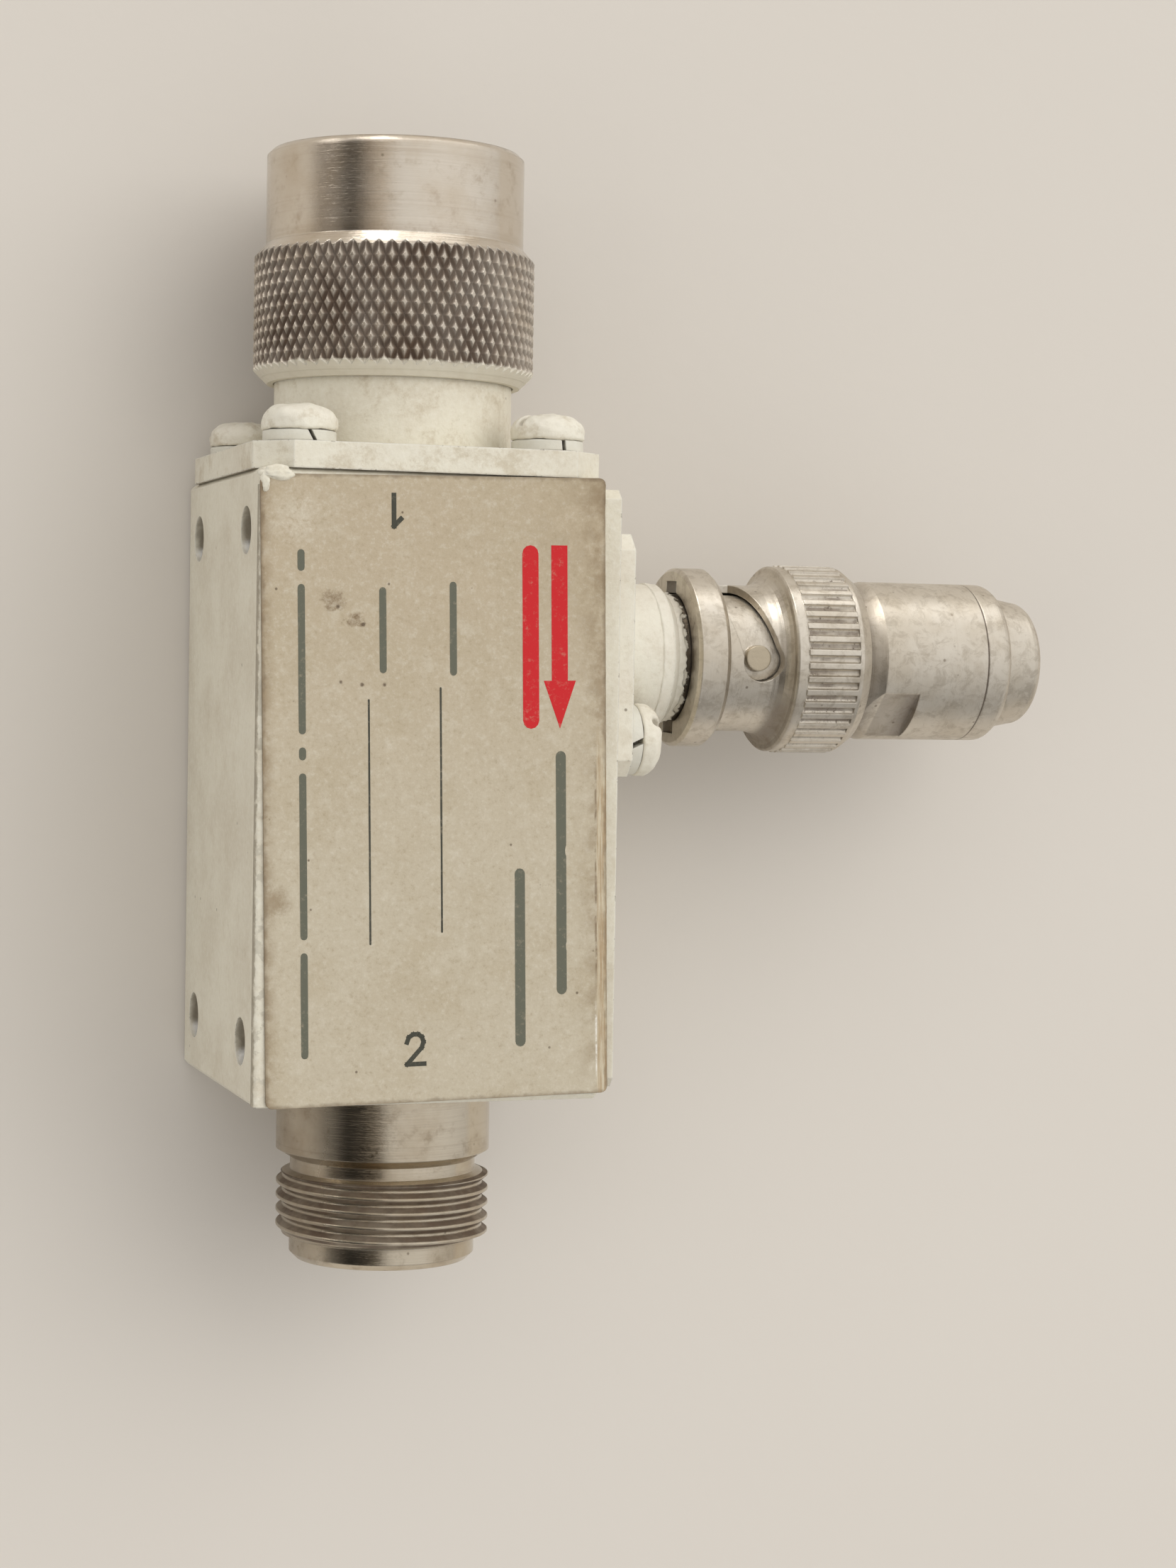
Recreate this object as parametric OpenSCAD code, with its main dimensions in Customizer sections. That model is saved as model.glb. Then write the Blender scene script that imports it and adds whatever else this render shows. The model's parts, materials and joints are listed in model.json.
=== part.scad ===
// In-line coaxial directional coupler.
// A square block carries an N plug with a captive coupling nut at one end, an N jack at the other,
// and a sampling port on its right side that a bayonet termination closes.
// Millimetres. The back of the block lies on Z = 0, the label faces +Z, the N plug points to +Y
// and the sampling port to +X.

/* [Body block] */
// Width of the block, left to right
body_w = 25.4; // [24:0.1:30]
// Depth of the block, back to label
body_d = 25.4; // [25.4:0.1:30]
// Length of the block along the line
body_l = 44.45; // [43:0.05:60]
// Radius of the four long edges
edge_r = 0.9; // [0.3:0.1:2]
// Chamfer round both ends of the block
end_chamfer = 0.4; // [0.1:0.1:0.8]
// Bore of the coaxial line
line_bore_d = 7; // [6.6:0.05:7.2]
// Diameter of the centre conductor
conductor_d = 3.04; // [2.6:0.02:3.4]

/* [Side holes] */
// Diameter of the four mounting holes on the left side
side_hole_d = 3.4; // [2.5:0.1:3.6]
// Depth of the mounting holes
side_hole_depth = 5.5; // [3:0.1:6]
// Distance of the mounting holes from the block's ends
side_hole_end = 4.225; // [4.2:0.025:7]
// Spacing of the mounting holes across the side
side_pitch_z = 16.8; // [15:0.1:18]

/* [Side cover] */
// Thickness of the cover plate
cover_t = 1.3; // [1:0.05:2.5]
// Step from the cover's end to the block's end
cover_end_inset = 0.65; // [0.2:0.05:2]
// Step from the cover's edge to the front and back of the block
cover_side_inset = 0.9; // [0.2:0.05:2]
// Corner chamfer of the cover
cover_chamfer = 0.7; // [0.2:0.1:2]
// Distance of the flush cover screws from the block's end
cover_screw_end = 4.4; // [4:0.1:8]
// Spacing of the two flush cover screws
cover_screw_pitch = 16.8; // [14:0.1:18]

/* [Label] */
// Step from the label's edge to the block's sides
label_side_inset = 0.4; // [0.2:0.05:3]
// Step from the label's edge to the block's ends
label_end_inset = 0.425; // [0.3:0.025:6]
// Thickness of the label plate
label_t = 0.25; // [0.1:0.05:0.6]
// Corner radius of the label plate
label_corner_r = 0.5; // [0.2:0.1:2]
// Crooked turn of the label on the block
label_skew = 1.2; // [-1.5:0.1:1.5]
// Shift of the label towards the side port
label_shift = 0.45; // [-0.5:0.05:0.6]

/* [Screws and lock washers] */
// Diameter of the pan-head screws
screw_d = 2.84; // [2.5:0.02:3]
// Diameter of the screw heads
screw_head_d = 5.35; // [4.6:0.05:5.6]
// Height of the screw heads
screw_head_h = 1.95; // [1.4:0.05:2.4]
// Rounding of the screw heads' edge
screw_head_edge = 1; // [0.5:0.05:1.2]
// Reach of the flange screws into the block
flange_screw_reach = 2; // [1.6:0.05:2.05]
// Reach of the port screws into the block
port_screw_reach = 2.6; // [1.8:0.1:3.4]
// Width of the driver slot
slot_w = 0.75; // [0.5:0.05:1]
// Depth of the driver slot
slot_depth = 0.85; // [0.5:0.05:1.1]
// Outer diameter of the split lock washers
washer_od = 5.2; // [4.4:0.1:5.4]
// Thickness of the split lock washers
washer_t = 0.85; // [0.6:0.05:1]
// Width of the gap in a lock washer
washer_split = 0.4; // [0.2:0.05:0.6]

/* [N plug] */
// Step from the flange's edge to the block's sides
n_flange_inset = 0; // [0:0.05:0.4]
// Thickness of the flange
n_flange_t = 1.92; // [1.5:0.02:2.4]
// Corner cut of the flange
n_flange_cut = 2.4; // [1.5:0.1:3]
// Spacing of the flange screws
n_pitch = 18.26; // [17.8:0.02:18.6]
// Diameter of the neck that the nut turns on
neck_d = 17.5; // [17.2:0.1:17.8]
// Length of the neck above the flange
neck_l = 9.75; // [9.6:0.05:10]
// Diameter of the pilot that centres the plug in the block
pilot_d = 13; // [11:0.1:13.4]
// Length of the pilot
pilot_l = 1.5; // [1:0.1:2]
// Outer diameter of the slotted outer contact
n_contact_od = 8; // [7.9:0.02:8.1]
// Reach of the outer contact ahead of the neck
n_contact_l = 10.4; // [10:0.1:11]
// Length of the slots in the outer contact
n_contact_slot_l = 6.5; // [4:0.1:8]
// Diameter of the pin
pin_d = 1.65; // [1.5:0.01:1.7]
// Setback of the pin's shoulder behind the outer contact
pin_setback = 5.3; // [5:0.1:6]
// Thickness of the gasket
n_gasket_t = 1.2; // [0.8:0.1:1.5]

/* [Coupling nut] */
// Diameter over the knurl
nut_knurl_d = 20.64; // [20.4:0.02:22]
// Diameter of the smooth collar
nut_collar_d = 18.94; // [18.8:0.02:19.4]
// Length of the nut
nut_l = 17; // [16.6:0.05:18]
// Length of the knurled band
nut_knurl_l = 8.2; // [6:0.1:8.4]
// Bevel at the back of the knurl
nut_back_bevel = 1; // [0.6:0.05:1]
// Length of the cone between knurl and collar
nut_cone_l = 0.95; // [0.6:0.05:2]
// Gap between the flange and the nut
nut_gap = 5.1; // [4.9:0.05:5.2]
// Bore of the nut's threaded mouth
nut_bore_d = 14.9; // [14.6:0.05:15.2]
// Thickness of the retaining ring
ring_t = 0.9; // [0.7:0.05:1.2]
// Gap between the retaining ring's ends
ring_gap = 2.4; // [1:0.1:4]
// Number of diamonds round the knurl
knurl_count = 68; // [48:1:76]
// Number of diamond rows along the knurl
knurl_rows = 10; // [6:1:12]
// Depth of the knurl
knurl_depth = 0.3; // [0.2:0.01:0.35]
// Flat on top of each diamond, as a share of its size
knurl_land = 0.3; // [0.15:0.05:0.5]

/* [N jack] */
// Diameter of the plain part
jack_d = 15.85; // [15.5:0.05:16.5]
// Length of the plain part
jack_plain_l = 4.9; // [4:0.05:6]
// Diameter of the thread
jack_thread_d = 15.8; // [15.6:0.01:15.88]
// Length of the thread
jack_thread_l = 5; // [4.6:0.1:6]
// Diameter of the undercut and of the rim
jack_rim_d = 13.75; // [13.4:0.05:14.2]
// Length of the undercut
jack_undercut_l = 0.9; // [0.6:0.05:1.4]
// Length of the rim ahead of the thread
jack_rim_l = 1.6; // [1.2:0.05:2]
// Bore of the mouth
mouth_d = 8.14; // [8.1:0.01:8.4]
// Depth of the mouth
mouth_depth = 9.1; // [8:0.1:9.4]
// Setback of the socket contact behind the rim
socket_setback = 4.8; // [4.5:0.1:5.4]
// Diameter of the spigot in the block
jack_spigot_d = 14; // [12:0.1:14.4]
// Length of the spigot in the block
jack_spigot_l = 8; // [5:0.1:9]

/* [Pick-up loop] */
// Width of the loop cavity
cavity_w = 6.4; // [5:0.1:7.4]
// Reach of the cavity from the port towards the plug
cavity_up = 4.4; // [4:0.1:6]
// Reach of the cavity from the port towards the jack
cavity_down = 20; // [19:0.1:22]
// Distance of the loop strap from the line's axis
loop_x = 5; // [4.6:0.1:5.6]
// Width of the loop strap
strap_w = 2; // [1.2:0.1:3]
// Thickness of the loop strap
strap_t = 0.4; // [0.3:0.05:0.6]
// Run of the loop along the line
loop_run = 16; // [12:0.1:17]
// Diameter of the loop's load resistor
load_d = 2.4; // [1.6:0.1:3]
// Length of the loop's load resistor
load_l = 4; // [3:0.1:5]

/* [Sampling port] */
// Height of the port above the middle of the block
port_y = 9.7; // [8.5:0.1:12]
// Size of the square port flange
port_flange = 17.8; // [17.4:0.1:18.4]
// Thickness of the port flange
port_flange_t = 2.15; // [1.4:0.05:2.4]
// Corner cut of the port flange
port_flange_cut = 1.2; // [1:0.1:2]
// Spacing of the port screws
port_pitch = 12.4; // [12.3:0.1:12.8]
// Diameter of the neck behind the bayonet barrel
port_neck_d = 11; // [10.4:0.1:11.2]
// Length of that neck
port_neck_l = 4.45; // [3.5:0.05:4.8]
// Diameter of the bayonet barrel
barrel_d = 9.66; // [9.6:0.01:9.7]
// Reach of the barrel ahead of the flange
barrel_l = 16; // [15.6:0.05:16.2]
// Bore of the barrel
barrel_bore_d = 8.25; // [8.2:0.01:8.3]
// Depth of that bore
barrel_bore_depth = 7.7; // [7.4:0.1:8]
// Diameter of the two bayonet lugs
lug_d = 1.95; // [1.8:0.01:2.05]
// Size over the two lugs
lug_span = 11; // [10.8:0.05:11.1]
// Distance of the lugs behind the barrel's rim
lug_setback = 4.85; // [4.6:0.05:5]
// Diameter of the port's insulator
port_insulator_d = 4.74; // [4.2:0.02:5]
// Rise of the port's insulator above the floor of the bore
port_insulator_rise = 5.6; // [5.3:0.1:5.8]
// Diameter of the port's socket contact
socket_d = 2.2; // [2:0.05:2.4]
// Rise of the socket contact above the floor of the bore
socket_rise = 5.1; // [4.8:0.1:5.2]
// Diameter of the socket contact's tail
socket_tail_d = 1.3; // [1:0.1:1.8]

/* [Bayonet sleeve] */
// Diameter of the ring at the mouth
sleeve_ring_d = 13.6; // [13:0.1:14]
// Length of that ring
sleeve_ring_l = 2.2; // [1.8:0.05:2.4]
// Diameter of the waist
sleeve_waist_d = 11.2; // [11:0.1:11.6]
// Diameter of the fluted grip
grip_d = 14.46; // [14:0.02:15]
// Length of the flutes
flute_l = 4.2; // [3:0.1:4.4]
// Number of flutes
flute_count = 44; // [30:1:50]
// Depth of the flutes
flute_depth = 0.28; // [0.15:0.01:0.35]
// Length of the sleeve
sleeve_l = 14.05; // [14:0.05:14.4]
// Distance of the sleeve's mouth from the port flange
sleeve_gap = 5.95; // [5.8:0.05:6.1]
// Axial lift of the bayonet cam
cam_lift = 2.5; // [2:0.1:2.6]
// Turn of the bayonet cam
cam_turn = 88; // [80:1:90]
// Room round a lug in the cam slot
slot_gap = 0.15; // [0.15:0.05:0.25]
// Extra width of the cam slot on the grip side
slot_play = 0.7; // [0.2:0.05:0.8]

/* [Termination] */
// Diameter of the housing
housing_d = 12.26; // [12:0.02:12.6]
// Length of the housing
housing_l = 9.7; // [9:0.1:12]
// Size over the two wrench flats
flat_af = 11.1; // [10.6:0.05:11.6]
// Length of the wrench flats
flat_l = 4.2; // [3:0.1:5]
// Turn of the flats about the port's axis
flat_turn = 49; // [0:1:90]
// Length of the end cap's wide part
cap_rim_l = 2.25; // [1.6:0.05:3]
// Diameter of the end cap's nose
nose_d = 9.62; // [8.8:0.02:10]
// Length of the end cap's nose
nose_l = 3.25; // [3:0.05:5]
// Outer diameter of the plug's outer contact
plug_contact_od = 7.9; // [7.8:0.01:8]
// Bore of the plug's outer contact
plug_bore_d = 6.6; // [6.2:0.05:6.8]
// Diameter of the shank that carries the sleeve
shank_d = 9.4; // [9.2:0.05:9.5]
// Diameter of the plug's pin
plug_pin_d = 1.36; // [1.3:0.01:1.38]
// Diameter of the terminating resistor
resistor_d = 3.6; // [2.5:0.1:4]

/* [Fits] */
// Gap round a seated round piece
fit = 0.03; // [0.02:0.01:0.05]
// Gap round a turning or sliding piece
running = 0.09; // [0.06:0.01:0.1]

/* [Hidden] */
$fn = 96;
eps = 0.01;

// Axis of the line and of the port above the back of the block
axis_z = body_d / 2;
// Clearance hole, tapped hole and washer bore of the screws
screw_clear_d = screw_d + 0.36;
tapped_d = screw_d + 2 * fit;
washer_id = screw_d + 0.2;
// Centre distance of the mounting holes along the line
side_pitch_y = body_l - 2 * side_hole_end;
// Run of a tapped hole past its screw
tap_run = 0.25;

// N plug, measured from the top of the block along +Y
neck_top = n_flange_t + neck_l;
contact_tip = neck_top + n_contact_l;
nut_back = n_flange_t + nut_gap;
nut_front = nut_back + nut_l;
nut_shoulder = neck_top + 0.5;
ring_at = nut_back + 2;
ring_groove_r = neck_d / 2 - 0.6;
nut_groove_r = neck_d / 2 + 0.45;

// N jack, measured from the bottom of the block along -Y
jack_chamfer = (jack_d - jack_rim_d) / 2;
undercut_from = jack_plain_l + jack_chamfer * 0.6;
thread_from = undercut_from + jack_undercut_l;
thread_to = thread_from + jack_thread_l;
jack_rim = thread_to + jack_rim_l;

// Sampling port and termination, measured from the right side of the block along +X
port_seat = cover_t;
flange_front = port_seat + port_flange_t;
neck_front = flange_front + port_neck_l;
barrel_front = flange_front + barrel_l;
lug_at = barrel_front - lug_setback;
bore_floor = barrel_front - barrel_bore_depth;
sleeve_mouth = flange_front + sleeve_gap;
sleeve_back = sleeve_mouth + sleeve_l;
grip_end = sleeve_back - 1.2;
grip_start = grip_end - flute_l;
cone_start = lug_at + 0.75;
slot_flare = 0.8;
shell_seat = barrel_front + 0.7;
shell_flange_t = 0.8;
shell_flange_d = lug_span + 0.8;
lip_from = shell_seat + shell_flange_t + 0.8;
lip_t = 1;
sleeve_bore_d = barrel_d + 0.36;
sleeve_room_d = shell_flange_d + 0.5;
housing_front = sleeve_back + 0.25;
housing_back = housing_front + housing_l;
shank_end = housing_front + 3.2;
cap_spigot_l = 1.9;
housing_bore_d = shank_d + 0.4;

// Corner signs of a four-screw pattern
CORNERS = [[-1, 1], [1, 1], [1, -1], [-1, -1]];
// Turn of each lock washer's split on the N flange and on the port flange
N_SPLITS = [290, 250, 60, 130];
PORT_SPLITS = [185, 75, 300];
// Corners of the port flange that still hold their screw: the upper front one is missing
PORT_CORNERS = [[-1, -1], [1, -1], [1, 1]];

// Placement of pieces that are drawn standing on +Z

module on_plug_end() {
    translate([0, body_l / 2, axis_z]) rotate([-90, 0, 0]) children();
}

module on_jack_end() {
    translate([0, -body_l / 2, axis_z]) rotate([90, 0, 0]) children();
}

module on_port_side() {
    translate([body_w / 2, port_y, axis_z]) rotate([0, 90, 0]) children();
}

// Shared shapes

module tube(d_out, d_in, from, to) {
    translate([0, 0, from]) linear_extrude(to - from) difference() {
        circle(d = d_out);
        circle(d = d_in);
    }
}

module rod(d, from, to) {
    translate([0, 0, from]) cylinder(d = d, h = to - from);
}

module rounded_square(w, d, r) {
    square([w - 2 * r, d], center = true);
    square([w, d - 2 * r], center = true);
    for (c = CORNERS) translate([c[0] * (w / 2 - r), c[1] * (d / 2 - r)]) circle(r = r);
}

module cut_square(w, d, cut) {
    intersection() {
        square([w, d], center = true);
        rotate(45) square((w + d - 2 * cut) / sqrt(2), center = true);
    }
}

module four_holes(pitch, d, from, to) {
    for (c = CORNERS) translate([c[0] * pitch / 2, c[1] * pitch / 2]) rod(d, from, to);
}

// Pan head with a rounded edge and a driver slot, its underside at zero
module pan_screw(length) {
    r = screw_head_d / 2;
    edge = screw_head_edge;
    difference() {
        union() {
            rotate_extrude() polygon(concat(
                [[0, 0], [r - 0.15, 0], [r, 0.15]],
                [for (a = [0:15:90]) [r - edge + edge * cos(a), screw_head_h - edge + edge * sin(a)]],
                [[0, screw_head_h]]
            ));
            rod(screw_d, -length, eps);
        }
        translate([-screw_head_d, -slot_w / 2, screw_head_h - slot_depth])
            cube([2 * screw_head_d, slot_w, slot_depth + 1]);
    }
}

// Split spring washer lying on zero, its gap slanted like the end of a coil
module lock_washer(turn) {
    rotate(turn) difference() {
        tube(washer_od, washer_id, 0, washer_t);
        translate([washer_od / 4, 0, washer_t / 2]) rotate([25, 0, 0])
            cube([washer_od, washer_split, 3 * washer_t], center = true);
    }
}

module retaining_ring(d_in, d_out, from, to, gap) {
    difference() {
        tube(d_out, d_in, from, to);
        translate([0, -gap / 2, from - 1]) cube([d_out, gap, to - from + 2]);
    }
}

// Block, cover and label

module block_blank() {
    intersection() {
        translate([0, body_l / 2, axis_z]) rotate([90, 0, 0]) linear_extrude(body_l)
            rounded_square(body_w, body_d, edge_r);
        linear_extrude(body_d) cut_square(body_w, body_l, end_chamfer);
        translate([-body_w / 2, 0, axis_z]) rotate([0, 90, 0]) linear_extrude(body_w)
            cut_square(body_d, body_l, end_chamfer);
    }
}

module loop_cavity() {
    r = cavity_w / 2;
    depth = body_w / 2 - line_bore_d / 4;
    translate([body_w / 2 - depth, port_y, axis_z]) rotate([0, 90, 0]) {
        for (y = [cavity_up - r, r - cavity_down]) translate([0, y, 0]) rod(cavity_w, 0, depth + 1);
        translate([-r, r - cavity_down, 0]) cube([cavity_w, cavity_up + cavity_down - 2 * r, depth + 1]);
    }
}

module body_block() {
    color("wheat") difference() {
        block_blank();
        on_plug_end() {
            rod(line_bore_d, -body_l - 1, 1);
            rod(pilot_d + 2 * fit, -pilot_l - 0.2, 1);
            four_holes(n_pitch, tapped_d, -flange_screw_reach - tap_run, 1);
        }
        on_jack_end() rod(jack_spigot_d + 2 * fit, -jack_spigot_l - 0.2, 1);
        loop_cavity();
        on_port_side() four_holes(port_pitch, tapped_d, -port_screw_reach - tap_run, 1);
        for (s = [-1, 1]) cover_screw_place(s) rod(tapped_d, -cover_t - 4.2, 1);
        for (sy = [-1, 1], sz = [-1, 1])
            translate([-body_w / 2, sy * side_pitch_y / 2, axis_z + sz * side_pitch_z / 2])
                rotate([0, 90, 0]) rod(side_hole_d, -1, side_hole_depth);
    }
}

module cover_screw_place(side) {
    translate([body_w / 2 + cover_t, cover_screw_end - body_l / 2, axis_z + side * cover_screw_pitch / 2])
        rotate([0, 90, 0]) children();
}

module countersink(d, room) {
    head = screw_head_d * 0.86;
    rotate_extrude() polygon([
        [0, -cover_t], [d / 2, -cover_t], [d / 2, -(head - d) / 2 - room],
        [head / 2 + room, 0], [head / 2 + room, room], [0, room]
    ]);
}

module side_cover() {
    color("antiquewhite") difference() {
        translate([body_w / 2, 0, axis_z]) rotate([0, 90, 0]) linear_extrude(cover_t)
            cut_square(body_d - 2 * cover_side_inset, body_l - 2 * cover_end_inset, cover_chamfer);
        on_port_side() {
            rod(port_insulator_d + 2 * fit, -1, cover_t + 1);
            four_holes(port_pitch, screw_clear_d, -1, cover_t + 1);
        }
        for (s = [-1, 1]) cover_screw_place(s) {
            countersink(screw_clear_d, 0.05);
            rod(screw_clear_d, -cover_t - 1, 0);
        }
    }
}

module cover_screws() {
    color("silver") for (s = [-1, 1]) cover_screw_place(s) difference() {
        union() {
            translate([0, 0, -0.05]) countersink(screw_d, 0);
            rod(screw_d, -cover_t - 3.8, -cover_t + eps);
        }
        translate([-slot_w / 2, -screw_head_d, -0.6]) cube([slot_w, 2 * screw_head_d, 1]);
    }
}

module label_plate() {
    color("tan") translate([label_shift, 0, body_d]) rotate(label_skew)
        linear_extrude(label_t)
            rounded_square(body_w - 2 * label_side_inset, body_l - 2 * label_end_inset, label_corner_r);
}

// N plug end

module n_plug_body() {
    color("wheat") on_plug_end() difference() {
        union() {
            linear_extrude(n_flange_t)
                cut_square(body_w - 2 * n_flange_inset, body_d - 2 * n_flange_inset, n_flange_cut);
            rotate_extrude() polygon([
                [0, -pilot_l], [pilot_d / 2, -pilot_l], [pilot_d / 2, eps], [neck_d / 2, eps],
                [neck_d / 2, neck_top - 0.4], [neck_d / 2 - 0.4, neck_top],
                [n_contact_od / 2 + 0.5, neck_top], [n_contact_od / 2, neck_top + 0.5],
                [n_contact_od / 2, contact_tip - 0.4], [n_contact_od / 2 - 0.2, contact_tip],
                [0, contact_tip]
            ]);
        }
        rod(line_bore_d, -pilot_l - 1, contact_tip + 1);
        tube(neck_d + 2, 2 * ring_groove_r, ring_at, ring_at + ring_t + 0.1);
        four_holes(n_pitch, screw_clear_d, -1, n_flange_t + 1);
        for (a = [45, 135]) rotate(a) translate([-n_contact_od, -0.2, contact_tip - n_contact_slot_l])
            cube([2 * n_contact_od, 0.4, n_contact_slot_l + 1]);
    }
}

module n_plug_insulator() {
    color("white") on_plug_end()
        tube(line_bore_d - 2 * fit, conductor_d + 2 * fit, n_flange_t, n_flange_t + 6);
}

module n_plug_pin() {
    shoulder = contact_tip - pin_setback;
    color("gold") on_plug_end() rotate_extrude() polygon([
        [0, 0], [conductor_d / 2, 0], [conductor_d / 2, shoulder - 0.3],
        [conductor_d / 2 - 0.3, shoulder], [pin_d / 2, shoulder],
        [pin_d / 2, contact_tip - 1.6], [0.25, contact_tip - 0.4], [0, contact_tip - 0.4]
    ]);
}

module n_plug_gasket() {
    color("firebrick") on_plug_end()
        tube(nut_bore_d - 0.6, n_contact_od + 1.1, neck_top, neck_top + n_gasket_t);
}

module nut_retaining_ring() {
    color("silver") on_plug_end() retaining_ring(
        2 * ring_groove_r + 0.06, 2 * nut_groove_r - 0.3, ring_at + 0.05, ring_at + 0.05 + ring_t, ring_gap);
}

module flange_screws() {
    color("wheat") on_plug_end() for (c = CORNERS)
        translate([c[0] * n_pitch / 2, c[1] * n_pitch / 2, n_flange_t + washer_t])
            rotate(20 * c[0]) pan_screw(n_flange_t + washer_t + flange_screw_reach);
}

module flange_lock_washers() {
    color("gainsboro") on_plug_end() for (i = [0:3])
        translate([CORNERS[i][0] * n_pitch / 2, CORNERS[i][1] * n_pitch / 2, n_flange_t])
            lock_washer(N_SPLITS[i]);
}

// Skin of the diamond knurl between the bevel behind it and the collar ahead of it.
// The grid has two columns to a diamond and one row to half a diamond. Where column and row add up to an
// even number two grooves cross, and elsewhere a diamond stands with a flat top. The grooves run out
// on the bevel and on the cone.
module knurl_skin(from, to, r_core) {
    cols = 2 * knurl_count;
    r_top = nut_knurl_d / 2;
    r_low = r_top - knurl_depth;
    skin = 0.02;
    r_collar = nut_collar_d / 2 + skin;
    back_run = knurl_depth;
    cone_run = nut_cone_l * knurl_depth / (r_top - r_collar);
    function at(u, z, r) = [r * cos(u * 360 / cols), r * sin(u * 360 / cols), z];
    function height(v) = from + (to - from) * v / knurl_rows;
    function crossing(u, v) = (u + v) % 2 == 0;
    function run_out(v) = v == 0 ? -back_run : v == knurl_rows ? cone_run : 0;
    // Four points to a place of the grid: left, below, right and above on the flat, or the crossing alone
    function place(u, v) = crossing(u, v)
        ? [for (k = [0:3]) at(u, height(v) + run_out(v), r_low)]
        : [
            at(u - knurl_land, height(v), r_top), at(u, height(max(v - knurl_land, 0)), r_top),
            at(u + knurl_land, height(v), r_top), at(u, height(min(v + knurl_land, knurl_rows)), r_top)
        ];
    function id(u, v, k) = 4 * (v * cols + u % cols) + k;
    grid = [for (v = [0:knurl_rows], u = [0:cols - 1]) each place(u, v)];
    count = len(grid);
    // Four rings close the skin: the bevel's and the cone's edges, and the core at both ends
    z_back = from - 2 * back_run;
    z_front = to + nut_cone_l;
    rings = [[z_back, r_top - 2 * back_run + skin], [z_front, r_collar], [z_front, r_core], [z_back, r_core]];
    ring_points = [for (g = rings, u = [0:cols - 1]) at(u, g[0], g[1])];
    function ring(g, u) = count + g * cols + u % cols;
    flanks = [
        for (v = [0:knurl_rows - 1], u = [0:cols - 1]) each crossing(u, v)
            ? [
                [id(u, v, 0), id(u + 1, v, 3), id(u + 1, v, 0)],
                [id(u, v, 0), id(u + 1, v + 1, 0), id(u + 1, v, 3)],
                [id(u, v, 0), id(u, v + 1, 2), id(u + 1, v + 1, 0)],
                [id(u, v, 0), id(u, v + 1, 1), id(u, v + 1, 2)]
            ]
            : [
                [id(u, v, 2), id(u, v + 1, 0), id(u + 1, v, 0)],
                [id(u, v, 2), id(u, v, 3), id(u, v + 1, 0)],
                [id(u, v + 1, 0), id(u + 1, v + 1, 1), id(u + 1, v, 0)],
                [id(u, v + 1, 0), id(u + 1, v + 1, 0), id(u + 1, v + 1, 1)]
            ]
    ];
    lands = [
        for (v = [0:knurl_rows], u = [0:cols - 1]) if (!crossing(u, v)) each concat(
            v > 0 ? [[id(u, v, 0), id(u, v, 2), id(u, v, 1)]] : [],
            v < knurl_rows ? [[id(u, v, 0), id(u, v, 3), id(u, v, 2)]] : []
        )
    ];
    bevel = [
        for (u = [0:cols - 1]) if (crossing(u, 0)) each [
            [ring(0, u), id(u, 0, 0), id(u + 1, 0, 0)],
            [ring(0, u), id(u + 1, 0, 0), ring(0, u + 1)],
            [ring(0, u + 1), id(u + 1, 0, 0), id(u + 1, 0, 2)],
            [ring(0, u + 1), id(u + 1, 0, 2), ring(0, u + 2)],
            [ring(0, u + 2), id(u + 1, 0, 2), id(u + 2, 0, 0)]
        ]
    ];
    cone = [
        for (u = [0:cols - 1]) if (crossing(u, knurl_rows)) each [
            [ring(1, u), id(u + 1, knurl_rows, 0), id(u, knurl_rows, 0)],
            [ring(1, u), ring(1, u + 1), id(u + 1, knurl_rows, 0)],
            [ring(1, u + 1), id(u + 1, knurl_rows, 2), id(u + 1, knurl_rows, 0)],
            [ring(1, u + 1), ring(1, u + 2), id(u + 1, knurl_rows, 2)],
            [ring(1, u + 2), id(u + 2, knurl_rows, 0), id(u + 1, knurl_rows, 2)]
        ]
    ];
    closing = [
        for (g = [1:3], u = [0:cols - 1]) let (h = (g + 1) % 4) each [
            [ring(g, u), ring(h, u), ring(h, u + 1)], [ring(g, u), ring(h, u + 1), ring(g, u + 1)]
        ]
    ];
    polyhedron(points = concat(grid, ring_points), faces = concat(flanks, lands, bevel, cone, closing),
        convexity = 8);
}

module n_coupling_nut() {
    knurl_r = nut_knurl_d / 2;
    collar_r = nut_collar_d / 2;
    bore_r = neck_d / 2 + running;
    core_r = (nut_groove_r + collar_r) / 2;
    core_lap = (collar_r - core_r) / 2;
    knurl_from = nut_back + nut_back_bevel;
    knurl_to = knurl_from + nut_knurl_l;
    skin_back = knurl_from - 2 * knurl_depth;
    groove = [ring_at - 0.1, ring_at + ring_t + 0.2];
    color("lightsteelblue") on_plug_end() {
        rotate_extrude() polygon([
            [bore_r, nut_back], [knurl_r - nut_back_bevel, nut_back],
            [knurl_r - 2 * knurl_depth + 0.1, skin_back + 0.1], [core_r + core_lap, skin_back + 0.1],
            [core_r + core_lap, knurl_to + nut_cone_l - 0.1], [collar_r, knurl_to + nut_cone_l - 0.1],
            [collar_r, nut_front - 0.35], [collar_r - 0.35, nut_front],
            [nut_bore_d / 2 + 0.8, nut_front], [nut_bore_d / 2, nut_front - 0.8],
            [nut_bore_d / 2, nut_shoulder + 1.6], [nut_bore_d / 2 + 0.6, nut_shoulder + 1.4],
            [nut_bore_d / 2 + 0.6, nut_shoulder], [bore_r, nut_shoulder],
            [bore_r, groove[1]], [nut_groove_r, groove[1]], [nut_groove_r, groove[0]], [bore_r, groove[0]]
        ]);
        knurl_skin(knurl_from, knurl_to, core_r);
    }
}

// Line and N jack end

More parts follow.
